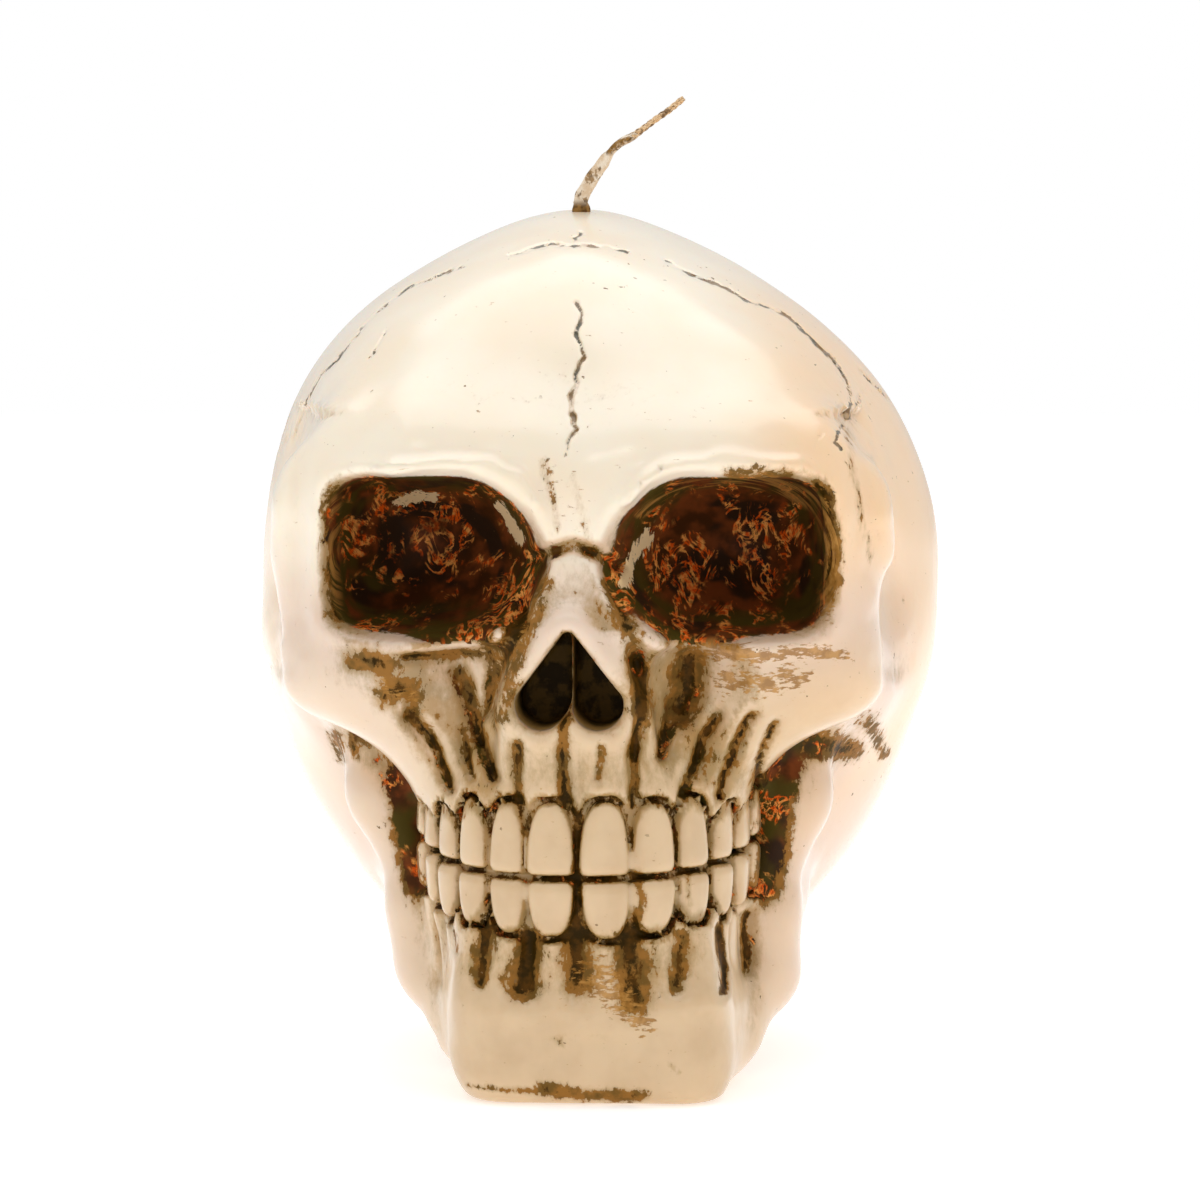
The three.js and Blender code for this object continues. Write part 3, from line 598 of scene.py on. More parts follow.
# Furrows and ridges of the face and their paint, as lines in the photograph's pixels: the points, the half
# width at both ends, the depth in millimetres and the strength of the paint
strokes = {
    "nasion": [((537, 557), (556, 553), (575, 546), (592, 552), (617, 565)), (4, 4), 1.3, 1],
    "nasion_left": [((545, 566), (530, 592), (514, 622), (500, 645)), (5, 6), 1, 0.7],
    "nasion_right": [((604, 570), (616, 597), (628, 632), (636, 660)), (5, 8), 1, 0.8],
    "nose_left": [((528, 612), (511, 650), (496, 682), (485, 712)), (7, 5), 1.2, 0.8],
    "nose_right": [((636, 655), (640, 690), (637, 721), (634, 760), (632, 806)), (7, 2.5), 1.2, 0.85],
    "glabella_left": [((544, 460), (550, 490), (556, 530)), (6, 5), 0, 0.5],
    "glabella_right": [((572, 478), (582, 510), (588, 543)), (7, 6), 0, 0.36],
    "under_eye_left": [((352, 662), (366, 658), (384, 664)), (8, 8), 0, 1.05],
    "under_eye_middle": [((404, 656), (440, 656), (480, 652)), (4, 7), 0.8, 1.1],
    "tear_left": [((488, 645), (493, 665), (490, 690)), (8, 7), 0.8, 0.95],
    "patch_left": [((386, 694), (402, 690), (414, 702)), (13, 11), 0.8, 0.9],
    "cheek_left": [((460, 668), (470, 695), (480, 735), (494, 779)), (9, 3), 1.9, 0.95],
    "cheek_outer_left": [((409, 712), (425, 730), (438, 752), (450, 789)), (6, 3), 1.4, 0.95],
    "root_a": [((463, 727), (467, 750), (472, 778)), (3.5, 2), 0.9, 1],
    "root_b": [((520, 742), (520, 770), (520, 800)), (5, 4), 1, 0.95],
    "root_c": [((563, 716), (563, 760), (563, 800)), (6, 6), 1.2, 1],
    "root_d": [((600, 746), (599, 778)), (5, 2), 1, 0.8],
    "fossa_right": [((690, 662), (688, 690), (680, 712)), (19, 12), 2.6, 1.25],
    "fossa_tail": [((672, 700), (664, 732), (658, 757)), (7, 2.5), 1.2, 0.9],
    "root_e": [((719, 716), (702, 738), (690, 768), (683, 798)), (4.5, 3.5), 1.3, 1],
    "root_f": [((753, 716), (733, 748), (720, 794)), (4, 3), 1.1, 0.95],
    "root_g": [((775, 722), (762, 745), (752, 790)), (3, 3), 0.8, 0.85],
    "jaw_a": [((455, 925), (456, 950)), (3, 3), 0.5, 0.6],
    "jaw_b": [((487, 930), (484, 958), (480, 984)), (9, 7), 1.1, 1.25],
    "jaw_c": [((529, 936), (528, 962), (526, 986)), (9, 15), 1.8, 1.6],
    "jaw_d": [((576, 936), (578, 960), (578, 984)), (13, 14), 1.2, 1.2],
    "jaw_e": [((630, 942), (634, 970), (637, 998)), (14, 17), 1.2, 1.15],
    "jaw_f": [((682, 936), (679, 960), (676, 986)), (8, 8), 1.1, 1.15],
    "jaw_g": [((719, 930), (722, 960), (723, 993)), (5, 4), 1.1, 1.15],
    "jaw_h": [((744, 916), (746, 945), (746, 974)), (4, 4), 0.7, 0.8],
    "tooth_edge_a": [((576, 872), (578, 900), (574, 926)), (5, 6), 0, 0.85],
    "tooth_edge_b": [((640, 872), (643, 900), (638, 926)), (5, 5), 0, 0.8],
    "tooth_edge_c": [((688, 870), (690, 905)), (3, 3), 0, 0.7],
    "tooth_edge_d": [((574, 812), (577, 850)), (4, 3), 0, 0.6],
    "temple_left": [((318, 410), (306, 440), (300, 520), (294, 600), (286, 664)), (15, 15), 1.5, 0],
    "temple_right": [((838, 396), (852, 440), (866, 520), (884, 600), (890, 664)), (15, 15), 1.7, 0],
    "stipple_left": [((337, 492), (333, 560), (338, 617)), (8, 9), 0, 0.82],
    "stipple_right": [((820, 492), (832, 540), (828, 590)), (13, 12), 0, 0.85],
    "stipple_top_right": [((730, 474), (790, 474)), (9, 9), 0, 0.72],
    "temple_spots_right": [((846, 432), (858, 500), (872, 560)), (4, 4), 0, 0.42],
    "chin_side_left": [((446, 905), (447, 960), (441, 1030)), (9, 9), 0.6, 0],
    "chin_side_right": [((742, 905), (748, 960), (748, 1030)), (9, 9), 0.6, 0],
    "chin_shelf_left": [((510, 1010), (560, 1010)), (13, 13), -0.7, 0],
    "chin_shelf_right": [((665, 1006), (715, 1000)), (13, 13), -0.7, 0],
    "brow_left": [((388, 468), (440, 461), (489, 462), (520, 480), (536, 505)), (4, 4), -1.2, 0],
    "brow_right": [((628, 500), (640, 480), (660, 466), (720, 457), (799, 462)), (4, 4), -1.2, 0],
    "scuff_left": [((559, 1042), (563, 1047)), (5, 3), 0, 0.6],
    "scuff_right": [((671, 1065), (678, 1070)), (5, 4), 0, 0.55],
    "base_edge_left": [((468, 1084), (500, 1090), (540, 1094)), (3, 5), 0, 0.75],
    "base_edge": [((545, 1090), (600, 1095), (645, 1097)), (9, 7), 0, 0.95],
    "nose_side_left": [((545, 580), (524, 640), (500, 720)), (9, 12), 0, 0.72],
    "nose_side_right": [((606, 580), (630, 640), (642, 715)), (9, 12), 0, 0.78],
}
# Places painted as darkly as the sockets: the points, the half width at both ends and the strength
rusty = {
    "cavity_left": [((408, 742), (404, 800), (414, 880)), (16, 14), 1.5],
    "cavity_right": [((785, 738), (779, 800), (768, 890)), (16, 15), 1.5],
    "pocket_right": [((818, 745), (850, 750)), (16, 13), 1.1],
    "slot_left": [((353, 738), (356, 755)), (6, 4), 1],
    "behind_left": [((333, 735), (340, 762)), (8, 6), 0.7],
    "behind_right": [((868, 722), (884, 752)), (12, 8), 0.75],
}
# Places washed over thinly, the same way
washes = {
    "midface_left": [((352, 660), (420, 680), (468, 725), (482, 785)), (26, 20), 0.7],
    "midface_right": [((655, 680), (690, 735), (735, 780)), (36, 28), 0.75],
    "under_nose": [((515, 768), (575, 772), (640, 770)), (26, 26), 0.45],
    "under_teeth": [((470, 955), (575, 965), (690, 955)), (26, 26), 0.5],
}
stroke_reach = 2.6
stroke_back = 5
stroke_top = 115
furrow_pixels = 2.5
wander_size = 4.2
wander_pixels = 3
ripple_size = 1.7
ripple_pixels = 1.2
second_noise = 50


# Distances in pixels from points of the photograph to a line, and how far along it the nearest place is
def distance_to_line(uv, line):
    line = np.array(line, float)
    along = lengths_along(line)
    best = np.full(len(uv), np.inf)
    where = np.zeros(len(uv))
    for n, (a, b) in enumerate(zip(line, line[1:])):
        ab = b - a
        t = np.clip((uv - a) @ ab / (ab @ ab), 0, 1)
        gap = np.hypot(*(uv - a - t[:, None] * ab).T)
        closer = gap < best
        best = np.where(closer, gap, best)
        where = np.where(closer, lerp(along[n], along[n + 1], t) / along[-1], where)
    return best, where


# How strongly points of the photograph belong to a stroke, from 0 to 1
def in_stroke(uv, line, halves):
    strength = np.zeros(len(uv))
    corners = np.array(line)
    reach = max(halves) * stroke_reach
    within = (uv > corners.min(axis=0) - reach) & (uv < corners.max(axis=0) + reach)
    near = np.nonzero(within.all(axis=1))[0]
    if len(near):
        gap, where = distance_to_line(uv[near], line)
        strength[near] = np.exp(-((gap / lerp(*halves, where)) ** 2))
    return strength


def two_noises(p, size):
    return np.stack([lattice_noise(p, size), lattice_noise(p + second_noise, size)], axis=1)


# Where points lie in the photograph, wandering a little so that no stroke is ruled
def wandering(p):
    wander = wander_pixels * two_noises(p, wander_size)
    return to_photo(p) + wander + ripple_pixels * two_noises(p, ripple_size)


def stroke_depth(p):
    depth = np.zeros(len(p))
    chosen = np.nonzero((p[:, 1] < stroke_back) & (p[:, 2] < stroke_top))[0]
    if len(chosen):
        uv = wandering(p[chosen])
        for line, (start, end), deep, _ in strokes.values():
            if deep:
                depth[chosen] += deep * in_stroke(uv, line, (start + furrow_pixels, end + furrow_pixels))
    return depth


# The sutures, cracks and scratches, the same way: the points and the half width
cracks = {
    "coronal_left": [((294, 437), (302, 414), (320, 375), (334, 364), (352, 341), (373, 315), (408, 287),
                      (430, 279), (465, 266)), 1.3],
    "coronal_top": [((509, 256), (536, 247), (552, 245), (568, 246), (576, 245), (607, 247),
                     (628, 253)), 1.6],
    "coronal_right": [((665, 260), (684, 272), (699, 278), (718, 284), (747, 301), (769, 308), (788, 317),
                       (813, 341), (832, 359), (847, 381), (851, 403), (856, 408), (861, 393)), 1.8],
    "coronal_right_foot": [((851, 403), (844, 422), (834, 442), (842, 449)), 2.2],
    "right_branch": [((860, 371), (868, 379), (888, 399)), 1.3],
    "sagittal": [((575, 245), (574, 240), (580, 234)), 2.6],
    "metopic": [((577, 303), (582, 315), (576, 333), (580, 343), (584, 357), (575, 375), (577, 383),
                 (571, 396), (572, 412), (576, 429), (569, 439), (565, 455)), 2.2],
    "scratch_left": [((387, 330), (370, 359)), 1.2],
    "scratch_right": [((822, 432), (816, 447)), 1.2],
}
crack_depth = 0.45
crack_back = 12
crack_wander_size = 1.4
crack_wander_pixels = 1.6
crack_strength = 0.66
crack_swing = 0.75
crack_swing_size = 3.2
third_noise = 90


# How strongly points belong to a crack, fading and coming back along it
def in_cracks(p):
    uv = to_photo(p) + crack_wander_pixels * two_noises(p, crack_wander_size)
    uneven = crack_strength + crack_swing * lattice_noise(p + third_noise, crack_swing_size)
    best = np.zeros(len(p))
    for line, half in cracks.values():
        best = np.maximum(best, in_stroke(uv, line, (half, half)))
    return best * np.clip(uneven, 0, 1) * (p[:, 1] < crack_back)


# Fields are worked out for so many points at a time
chunk = 20000


def in_chunks(field, p):
    return np.concatenate([field(p[n:n + chunk]) for n in range(0, len(p), chunk)])


def head(p):
    return in_chunks(head_in_one, p)


def cracked_head(p):
    return head(p) + crack_depth * in_cracks(p)


# The skin of a field: one point in each grid cell that the skin crosses, one face round each crossed edge

# The cells' sizes, and where they grow from one size to the next
mouth_cell = 0.86
face_cell = 1.1
back_cell = 2.1
mouth_side = (27, 34)
face_side = (36, 50)
face_back = (-54, -10)
mouth_bottom = (14, 24)
mouth_top = (56, 64)
face_top = (84, 112)
grid_margin = 4
grid_foot = -9
block_cells = 6
reach_share = 2


def levels(low, high, size_at):
    line = [low]
    while line[-1] < high:
        line.append(line[-1] + size_at(line[-1]))
    return np.array(line)


def grid_lines():
    def across(x):
        front = lerp(mouth_cell, face_cell, smoothstep(x, *mouth_side))
        return lerp(front, back_cell, smoothstep(x, *face_side))

    def backwards(y):
        return lerp(mouth_cell, back_cell, smoothstep(y, *face_back))

    def upwards(z):
        mouth = smoothstep(z, *mouth_bottom) * (1 - smoothstep(z, *mouth_top))
        return lerp(lerp(face_cell, mouth_cell, mouth), back_cell, smoothstep(z, *face_top))

    right = levels(mouth_cell / 2, half_width + grid_margin, across)
    xs = np.concatenate([-right[::-1], right])
    ys = levels(-half_depth - grid_margin, half_depth + grid_margin, backwards)
    return xs, ys, levels(grid_foot, skull_height + grid_margin, upwards)


def shifted(array, axis, start, stop):
    index = [slice(None)] * 3
    index[axis] = slice(start, stop)
    return array[tuple(index)]


def grid_points(lines):
    return np.stack(np.meshgrid(*lines, indexing="ij"), axis=-1)


# The field's values on a grid, worked out only in the blocks of cells that the skin can reach
def values_on(field, lines):
    blocks = [np.array_split(line, math.ceil(len(line) / block_cells)) for line in lines]
    middles = [np.array([(part[0] + part[-1]) / 2 for part in parts]) for parts in blocks]
    reaches = [np.array([(part[-1] - part[0]) / 2 for part in parts]) for parts in blocks]
    value = field(grid_points(middles).reshape(-1, 3)).reshape([len(m) for m in middles])
    reach = np.sqrt((grid_points(reaches) ** 2).sum(axis=-1))
    near = np.abs(value) < reach_share * reach
    for axis, parts in enumerate(blocks):
        sizes = [len(part) for part in parts]
        value = np.repeat(value, sizes, axis)
        near = np.repeat(near, sizes, axis)
    value[near] = field(grid_points(lines)[near])
    return value


# Points and outward faces of the skin, on a grid with the given levels along each axis
def skin_of(field, lines):
    spots = grid_points(lines)
    value = values_on(field, lines)
    inside = value < 0
    cells = tuple(n - 1 for n in value.shape)
    total = np.zeros(cells + (3,))
    count = np.zeros(cells)
    crossings = []
    for axis in range(3):
        a, b = shifted(value, axis, None, -1), shifted(value, axis, 1, None)
        crossed = shifted(inside, axis, None, -1) != shifted(inside, axis, 1, None)
        t = np.where(crossed, a / np.where(crossed, a - b, 1), 0)[..., None]
        point = shifted(spots, axis, None, -1) * (1 - t) + shifted(spots, axis, 1, None) * t
        point = np.where(crossed[..., None], point, 0)
        u, v = (axis + 1) % 3, (axis + 2) % 3
        for du in (0, 1):
            for dv in (0, 1):
                def window(array):
                    part = shifted(array, u, du, array.shape[u] - 1 + du)
                    return shifted(part, v, dv, array.shape[v] - 1 + dv)
                total += window(point)
                count += window(crossed)
        crossings.append(crossed)
    numbers = np.cumsum(count.reshape(-1) > 0).reshape(cells) - 1
    points = (total[count > 0].T / count[count > 0]).T
    quads = []
    for axis, crossed in enumerate(crossings):
        u, v = (axis + 1) % 3, (axis + 2) % 3
        at = np.argwhere(crossed)
        at = at[(at[:, u] > 0) & (at[:, v] > 0) & (at[:, u] < cells[u]) & (at[:, v] < cells[v])]
        corners = []
        for du, dv in ((1, 1), (0, 1), (0, 0), (1, 0)):
            cell = at.copy()
            cell[:, u] -= du
            cell[:, v] -= dv
            corners.append(numbers[tuple(cell.T)])
        quad = np.stack(corners, axis=1)
        outwards = inside[tuple(at.T)]
        quad[~outwards] = quad[~outwards][:, ::-1]
        quads.append(quad)
    return points, np.concatenate(quads)


small_step = 0.05
least_steepness = 0.25
longest_move = 1.5
relaxings = 3


# Moves points along the field's slope onto its skin
def draw_onto(field, p, times=1):
    for _ in range(times):
        here = field(p)
        slopes = [(field(p + small_step * direction) - here) / small_step for direction in np.eye(3)]
        slope = np.stack(slopes, axis=1)
        steep = np.maximum((slope**2).sum(axis=1), least_steepness)
        p = p + slope * np.clip(-here / steep, -longest_move, longest_move)[:, None]
    return p


# Moves each point part of the way to the middle of its neighbours
def relax(points, quads, share=0.5):
    sums = np.zeros_like(points)
    counts = np.zeros(len(points))
    for m in range(4):
        for other in (1, 3):
            np.add.at(sums, quads[:, m], points[quads[:, (m + other) % 4]])
            np.add.at(counts, quads[:, m], 1)
    return lerp(points, sums / counts[:, None], share)


def skull_skin():
    points, quads = skin_of(head, grid_lines())
    for _ in range(relaxings):
        points = draw_onto(head, relax(points, quads))
    return draw_onto(head, points), quads


def new_object(name, data):
    thing = bpy.data.objects.new(name, data)
    bpy.context.scene.collection.objects.link(thing)
    return thing


def smooth_object(name, mesh):
    mesh.polygons.foreach_set("use_smooth", [True] * len(mesh.polygons))
    return new_object(name, mesh)


def mesh_object(name, points, faces):
    mesh = bpy.data.meshes.new(name)
    mesh.from_pydata((points * MILLIMETRE).tolist(), [], faces.tolist())
    mesh.update()
    return smooth_object(name, mesh)


refined_bands = (8, 4.5)
refined_back = 14
refined_strength = 0.37
cracked_strength = 0.01


# Finer faces in the bands of the given half widths, in the photograph's pixels, on both sides of the cracks
def refine_cracks(piece, bands):
    build = bmesh.new()
    build.from_mesh(piece.data)
    kept = len(build.verts)
    for band in bands:
        centres = np.array([face.calc_center_median() for face in build.faces]) / MILLIMETRE - frame_shift
        uv = to_photo(centres)
        near = np.zeros(len(centres), bool)
        for line, _ in cracks.values():
            near |= in_stroke(uv, line, (band, band)) > refined_strength
        near &= centres[:, 1] < refined_back
        build.faces.ensure_lookup_table()
        edges = {edge for n in np.nonzero(near)[0] for edge in build.faces[n].edges}
        bmesh.ops.subdivide_edges(build, edges=list(edges), cuts=1, use_grid_fill=True)
    build.verts.ensure_lookup_table()
    spots = np.array([vert.co for vert in build.verts]) / MILLIMETRE - frame_shift
    moved = np.nonzero(np.arange(len(spots)) >= kept)[0]
    close = np.nonzero(in_cracks(spots[:kept]) > cracked_strength)[0]
    moved = np.concatenate([moved, close])
    spots[moved] = draw_onto(cracked_head, spots[moved], 2)
    for n in moved:
        build.verts[n].co = (spots[n] + frame_shift) * MILLIMETRE
    for face in build.faces:
        face.smooth = True
    build.to_mesh(piece.data)
    build.free()


skin_points, skin_quads = skull_skin()
skull = mesh_object("painted_skull", skin_points + frame_shift, skin_quads)
refine_cracks(skull, refined_bands)


# Painted places and values for the materials, kept at the skin's points

# The places and normals of a piece's points, in the casting's frame
def vertex_table(piece):
    mesh = piece.data
    places = np.zeros(len(mesh.vertices) * 3)
    mesh.vertices.foreach_get("co", places)
    normals = np.zeros(len(mesh.vertices) * 3)
    mesh.vertex_normals.foreach_get("vector", normals)
    return places.reshape(-1, 3) / MILLIMETRE - frame_shift, normals.reshape(-1, 3)


def keep_values(piece, name, values):
    layer = piece.data.attributes.new(name, "FLOAT", "POINT")
    layer.data.foreach_set("value", np.asarray(values, np.float32))


# Where masks and tints fade in, from the first value to the second: places in millimetres, apart from facing,
# which is how far the skin turns to the camera, and lateral_rim, a share of the eye socket
fades = {
    "facing": (-0.1, 0.15),
    "temple_side": (43, 48),
    "temple_level": (66, 76),
    "deep_front": (-43, -38),
    # Fades of the tan, partly painted shade
    "tan_level": (84, 56),
    "tan_depth": (-26, -46),
    "tan_left": (-16, -30),
    "tan_left_level": (40, 60),
    # Fades of the pinkish tint, partly painted shade
    "rosy_level": (96, 78),
    "rosy_depth": (-4, -26),
    "rosy_jaw": (64, 34),
    # Fades of the painted glow of light through the wax
    "glow_depth": (-34, 8),
    "glow_level": (135, 95),
    "low_glow_depth": (-40, 0),
    "low_glow_level": (110, 35),
    "glow_side": (-20, 45),
    "right_glow_side": (18, 44),
    "lateral": (4, 15),
    "lateral_rim": (1.05, 1.25),
}
face_back_edge = -5
face_top_edge = 112
socket_margin = 1.6
socket_levels = (74, 110)
nose_margin = 0.9
nose_front = 64
nose_deepest = 20
septum_bare_half = 0.75
septum_bare_front = 2 - septum_front
deep_back = 6
deep_top = 80
lateral_back = -30
# The share of the tan, partly painted shade, kept on the left
tan_share_left = 0.4
# Shares of the painted glow of light through the wax
glow_share_left = 0.6
low_glow = 0.8
right_glow = 0.85
crevice_probes = (0.8, 1.5, 2.6)
crevice_eased = 0.85
hollow_probes = (5, 9, 16)


def fade(values, name):
    return smoothstep(values, *fades[name])


# How much less room there is in front of each point than on an open flat, for probes of the given lengths
def crowding(p, n, reaches):
    total = np.zeros(len(p))
    for reach in reaches:
        total += np.clip(1 - head(p + n * reach) / reach, 0, 1)
    return total / len(reaches)


# Places brushed over with golden brown, and places in the sockets where the paint has chipped off
brushed = {
    "under_eye_right": [((712, 650), (755, 656), (800, 652), (846, 654)), (12, 7), 1],
    "cheek_right": [((728, 680), (760, 684), (806, 676)), (18, 10), 0.9],
    "patch_left": [((386, 684), (412, 700), (432, 730)), (14, 6), 0.55],
    "chin": [((596, 975), (622, 1004), (648, 1026)), (26, 12), 0.8],
    "eye_right": [((640, 512), (690, 487), (770, 482), (822, 505), (836, 560), (826, 612)), (6, 10), 0.9],
    "eye_left": [((336, 500), (333, 560), (338, 610)), (7, 7), 0.6],
    "glabella": [((560, 470), (574, 520), (578, 545)), (14, 10), 0.28],
    "nasion": [((520, 640), (538, 600), (552, 566)), (8, 6), 0.5],
}
chips = {
    "top_left": [((398, 503), (412, 498), (434, 496)), (7, 6), 1],
    "medial_left": [((500, 505), (510, 520), (520, 541)), (6, 7), 1],
    "medial_right": [((646, 536), (632, 556), (624, 584)), (9, 8), 1],
}


# The strongest of a table's strokes at points of the photograph
def strongest(uv, table):
    best = np.zeros(len(uv))
    for line, halves, strength in table:
        best = np.maximum(best, strength * in_stroke(uv, line, halves))
    return best


spots, outwards = vertex_table(skull)
x, y, z = spots.T
seen = to_photo(spots)
wandered = wandering(spots)
facing = fade(outwards @ photo_directions()[2], "facing")
front = facing * (y < face_back_edge) * (z < face_top_edge)
temple = fade(np.abs(x), "temple_side") * fade(z, "temple_level")
open_face = in_chunks(solid_face, spots)
eye = in_chunks(eye_opening, spots)
nose_hole = in_chunks(nose_opening, spots)
in_socket = (eye < socket_margin) & (z > socket_levels[0]) & (z < socket_levels[1])
socket = np.where(in_socket, np.maximum(-open_face, 0), 0)
nose_depth = np.where(nose_hole < nose_margin, np.clip(y + nose_front, 0, nose_deepest), 0)
nose_depth[(np.abs(x - nose_shift) < septum_bare_half) & (y < septum_bare_front)] = 0
furrows = [(line, halves, share) for line, halves, _, share in strokes.values()]
deep_paint = strongest(wandered, rusty.values()) * facing * (y < deep_back) * (z < deep_top)
deep_paint *= fade(y, "deep_front")
from_eye = mirrored(spots, face_lean(z)) - place["orbit"]
ring = np.hypot(from_eye[:, 0] / orbit_width, from_eye[:, 2] / orbit_height) * 2
# A tan on the lower front of the face, weaker on the left: partly the wax's own tone and partly painted shade
tan = fade(z, "tan_level") * fade(y, "tan_depth")
tan *= lerp(1, tan_share_left, fade(x, "tan_left") * fade(z, "tan_left_level"))
# A pinkish tint below the eyes and all round the jaw, where there is no tan: partly the wax's own tone,
# partly painted shade
rosy = fade(z, "rosy_level") * fade(y, "rosy_depth") * (1 - tan)
# A painted glow of light through the wax: towards the back, low on the cranium and on the right, weaker on
# the left
glow = np.maximum(fade(y, "glow_depth") * fade(z, "glow_level"),
                  low_glow * fade(y, "low_glow_depth") * fade(z, "low_glow_level"))
glow *= lerp(glow_share_left, 1, fade(x, "glow_side"))
kept_values = {
    "crevice": crowding(spots, outwards, crevice_probes) * (1 - crevice_eased * temple),
    "hollow": crowding(spots, outwards, hollow_probes),
    "socket": socket,
    "nose_depth": nose_depth,
    "paint": np.maximum(strongest(wandered, furrows) * front, deep_paint),
    "washed": strongest(wandered, washes.values()) * front,
    "tan": tan,
    "crack": in_cracks(spots),
    "gold": strongest(seen, brushed.values()) * front,
    "chip": strongest(wandered, chips.values()) * (socket > 0) * facing,
    "rosy": np.maximum(rosy, fade(z, "rosy_jaw") * (1 - tan)),
    "glow": np.maximum(glow, right_glow * fade(x, "right_glow_side")),
    "ring": ring,
    "angle": np.arctan2(from_eye[:, 0], from_eye[:, 2]),
    "deep_paint": deep_paint,
    "lateral": fade(from_eye[:, 0], "lateral") * (1 - fade(ring, "lateral_rim")) * (y < lateral_back),
}
for name, values in kept_values.items():
    keep_values(skull, name, values)

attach(skull, "root")
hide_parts("skull_casting")


# Materials. Colours are given as the eye reads them, from 0 to 255, and turned into light
colours = {
    "wax": (252, 238, 217),
    "wax_cloud": (250, 231, 205),
    # The painted glow of light shining through the wax
    "wax_painted_glow": (248, 202, 152),
    # A pinkish tint, partly painted shade
    "wax_rosy": (226, 200, 180),
    # Painted shade in the hollows
    "wax_hollow_shade": (232, 203, 172),
    # A tan for the lower face, partly the wax's own tone and partly painted shade
    "wax_tan": (219, 188, 146),
    "wax_tan_dark": (208, 175, 132),
    "olive": (156, 125, 66),
    "olive_light": (176, 136, 74),
    "stain": (104, 72, 18),
    "stain_light": (148, 98, 34),
    "grime": (52, 36, 4),
    "grime_light": (88, 56, 12),
    "gold": (150, 102, 40),
    "gold_light": (190, 138, 70),
    "murk": (74, 41, 17),
    "murk_red": (122, 63, 28),
    "murk_dark": (54, 36, 23),
    "murk_olive": (78, 66, 23),
    "rust": (232, 94, 20),
    "rust_light": (255, 174, 88),
    "rim_gold": (190, 136, 70),
    "chip": (255, 222, 168),
    "nostril": (58, 42, 14),
    "nostril_light": (108, 82, 36),
    # Olive near the nostrils' opening, partly painted light
    "nostril_edge": (182, 150, 90),
    "crack": (62, 60, 36),
    "crack_light": (128, 96, 52),
    "speck": (132, 102, 64),
    "cotton": (206, 164, 114),
    "cotton_light": (240, 208, 164),
    "cotton_spot": (108, 74, 30),
    "wick_cream": (243, 228, 206),
    "wick_cream_dark": (226, 200, 168),
    "wick_dirt": (98, 68, 22),
    "wick_dirt_light": (150, 110, 54),
    "poured": (240, 222, 190),
    "poured_dark": (228, 203, 164),
    "tin": (196, 198, 200),
    "tin_dark": (172, 174, 177),
}


def colour(name):
    shares = np.array(colours[name]) / 255
    return (*np.where(shares < 0.0404, shares / 12.92, ((shares + 0.055) / 1.055) ** 2.4), 1)


class Nodes:
    """A material's nodes. An input given a socket is linked, and any other input is set."""

    def __init__(self, name):
        self.material = bpy.data.materials.new(name)
        self.material.use_nodes = True
        self.tree = self.material.node_tree
        self.shader = self.tree.nodes["Principled BSDF"]

    def fill(self, node, inputs):
        for key, value in inputs.items():
            if isinstance(value, bpy.types.NodeSocket):
                self.tree.links.new(value, node.inputs[key])
            else:
                node.inputs[key].default_value = value

    def surface(self, inputs):
        self.fill(self.shader, inputs)
        return self.material

    def add(self, kind, inputs=None, **settings):
        node = self.tree.nodes.new("ShaderNode" + kind)
        for key, value in settings.items():
            setattr(node, key, value)
        self.fill(node, inputs or {})
        return node

    def math(self, operation, *values):
        return self.add("Math", dict(enumerate(values)), operation=operation).outputs[0]

    def value(self, name):
        return self.add("Attribute", attribute_name=name).outputs["Fac"]

    def times(self, a, b):
        return self.math("MULTIPLY", a, b)

    def most(self, first, *others):
        for other in others:
            first = self.math("MAXIMUM", first, other)
        return first

    def opposite(self, value):
        return self.math("SUBTRACT", 1, value)

    def step(self, value, low, high):
        inputs = {"Value": value, "From Min": low, "From Max": high}
        return self.add("MapRange", inputs, interpolation_type="SMOOTHSTEP").outputs["Result"]

    def between(self, value, low, high):
        return self.add("MapRange", {"Value": value, "To Min": low, "To Max": high}).outputs["Result"]

    def mix(self, share, a, b):
        return self.add("Mix", {0: share, 6: a, 7: b}, data_type="RGBA").outputs[2]

    def bump(self, height, distance, strength):
        return self.add("Bump", {"Height": height, "Distance": distance, "Strength": strength}).outputs[0]

    def noise(self, size, detail=4, roughness=0.55, stretch=(1, 1, 1), distortion=0, turn=(0, 0, 0)):
        """Noise whose blotches are about size millimetres wide."""
        place_of = self.add("TexCoord").outputs["Object"]
        scaled = self.add("Mapping", {"Vector": place_of, "Scale": stretch, "Rotation": turn}).outputs[0]
        inputs = {"Vector": scaled, "Scale": 1000 / size, "Detail": detail, "Roughness": roughness,
                  "Distortion": distortion}
        return self.add("TexNoise", inputs).outputs["Fac"]

    def mottle(self, first, second, limits, *noise):
        """Two named colours in blotches of noise, which turns from one to the other between the limits."""
        return self.mix(self.step(self.noise(*noise), *limits), colour(first), colour(second))

    def swing(self, amount, *noise, **settings):
        """Noise about zero, as wide as amount."""
        return self.about_zero(self.noise(*noise, **settings), amount)

    def about_zero(self, noise, amount):
        return self.times(self.math("SUBTRACT", noise, 0.5), amount)

    def total(self, *values):
        """The sum of values, each a socket or a pair of a socket and its factor."""
        result = None
        for value in values:
            term = self.times(*value) if isinstance(value, tuple) else value
            result = term if result is None else self.math("ADD", result, term)
        return result
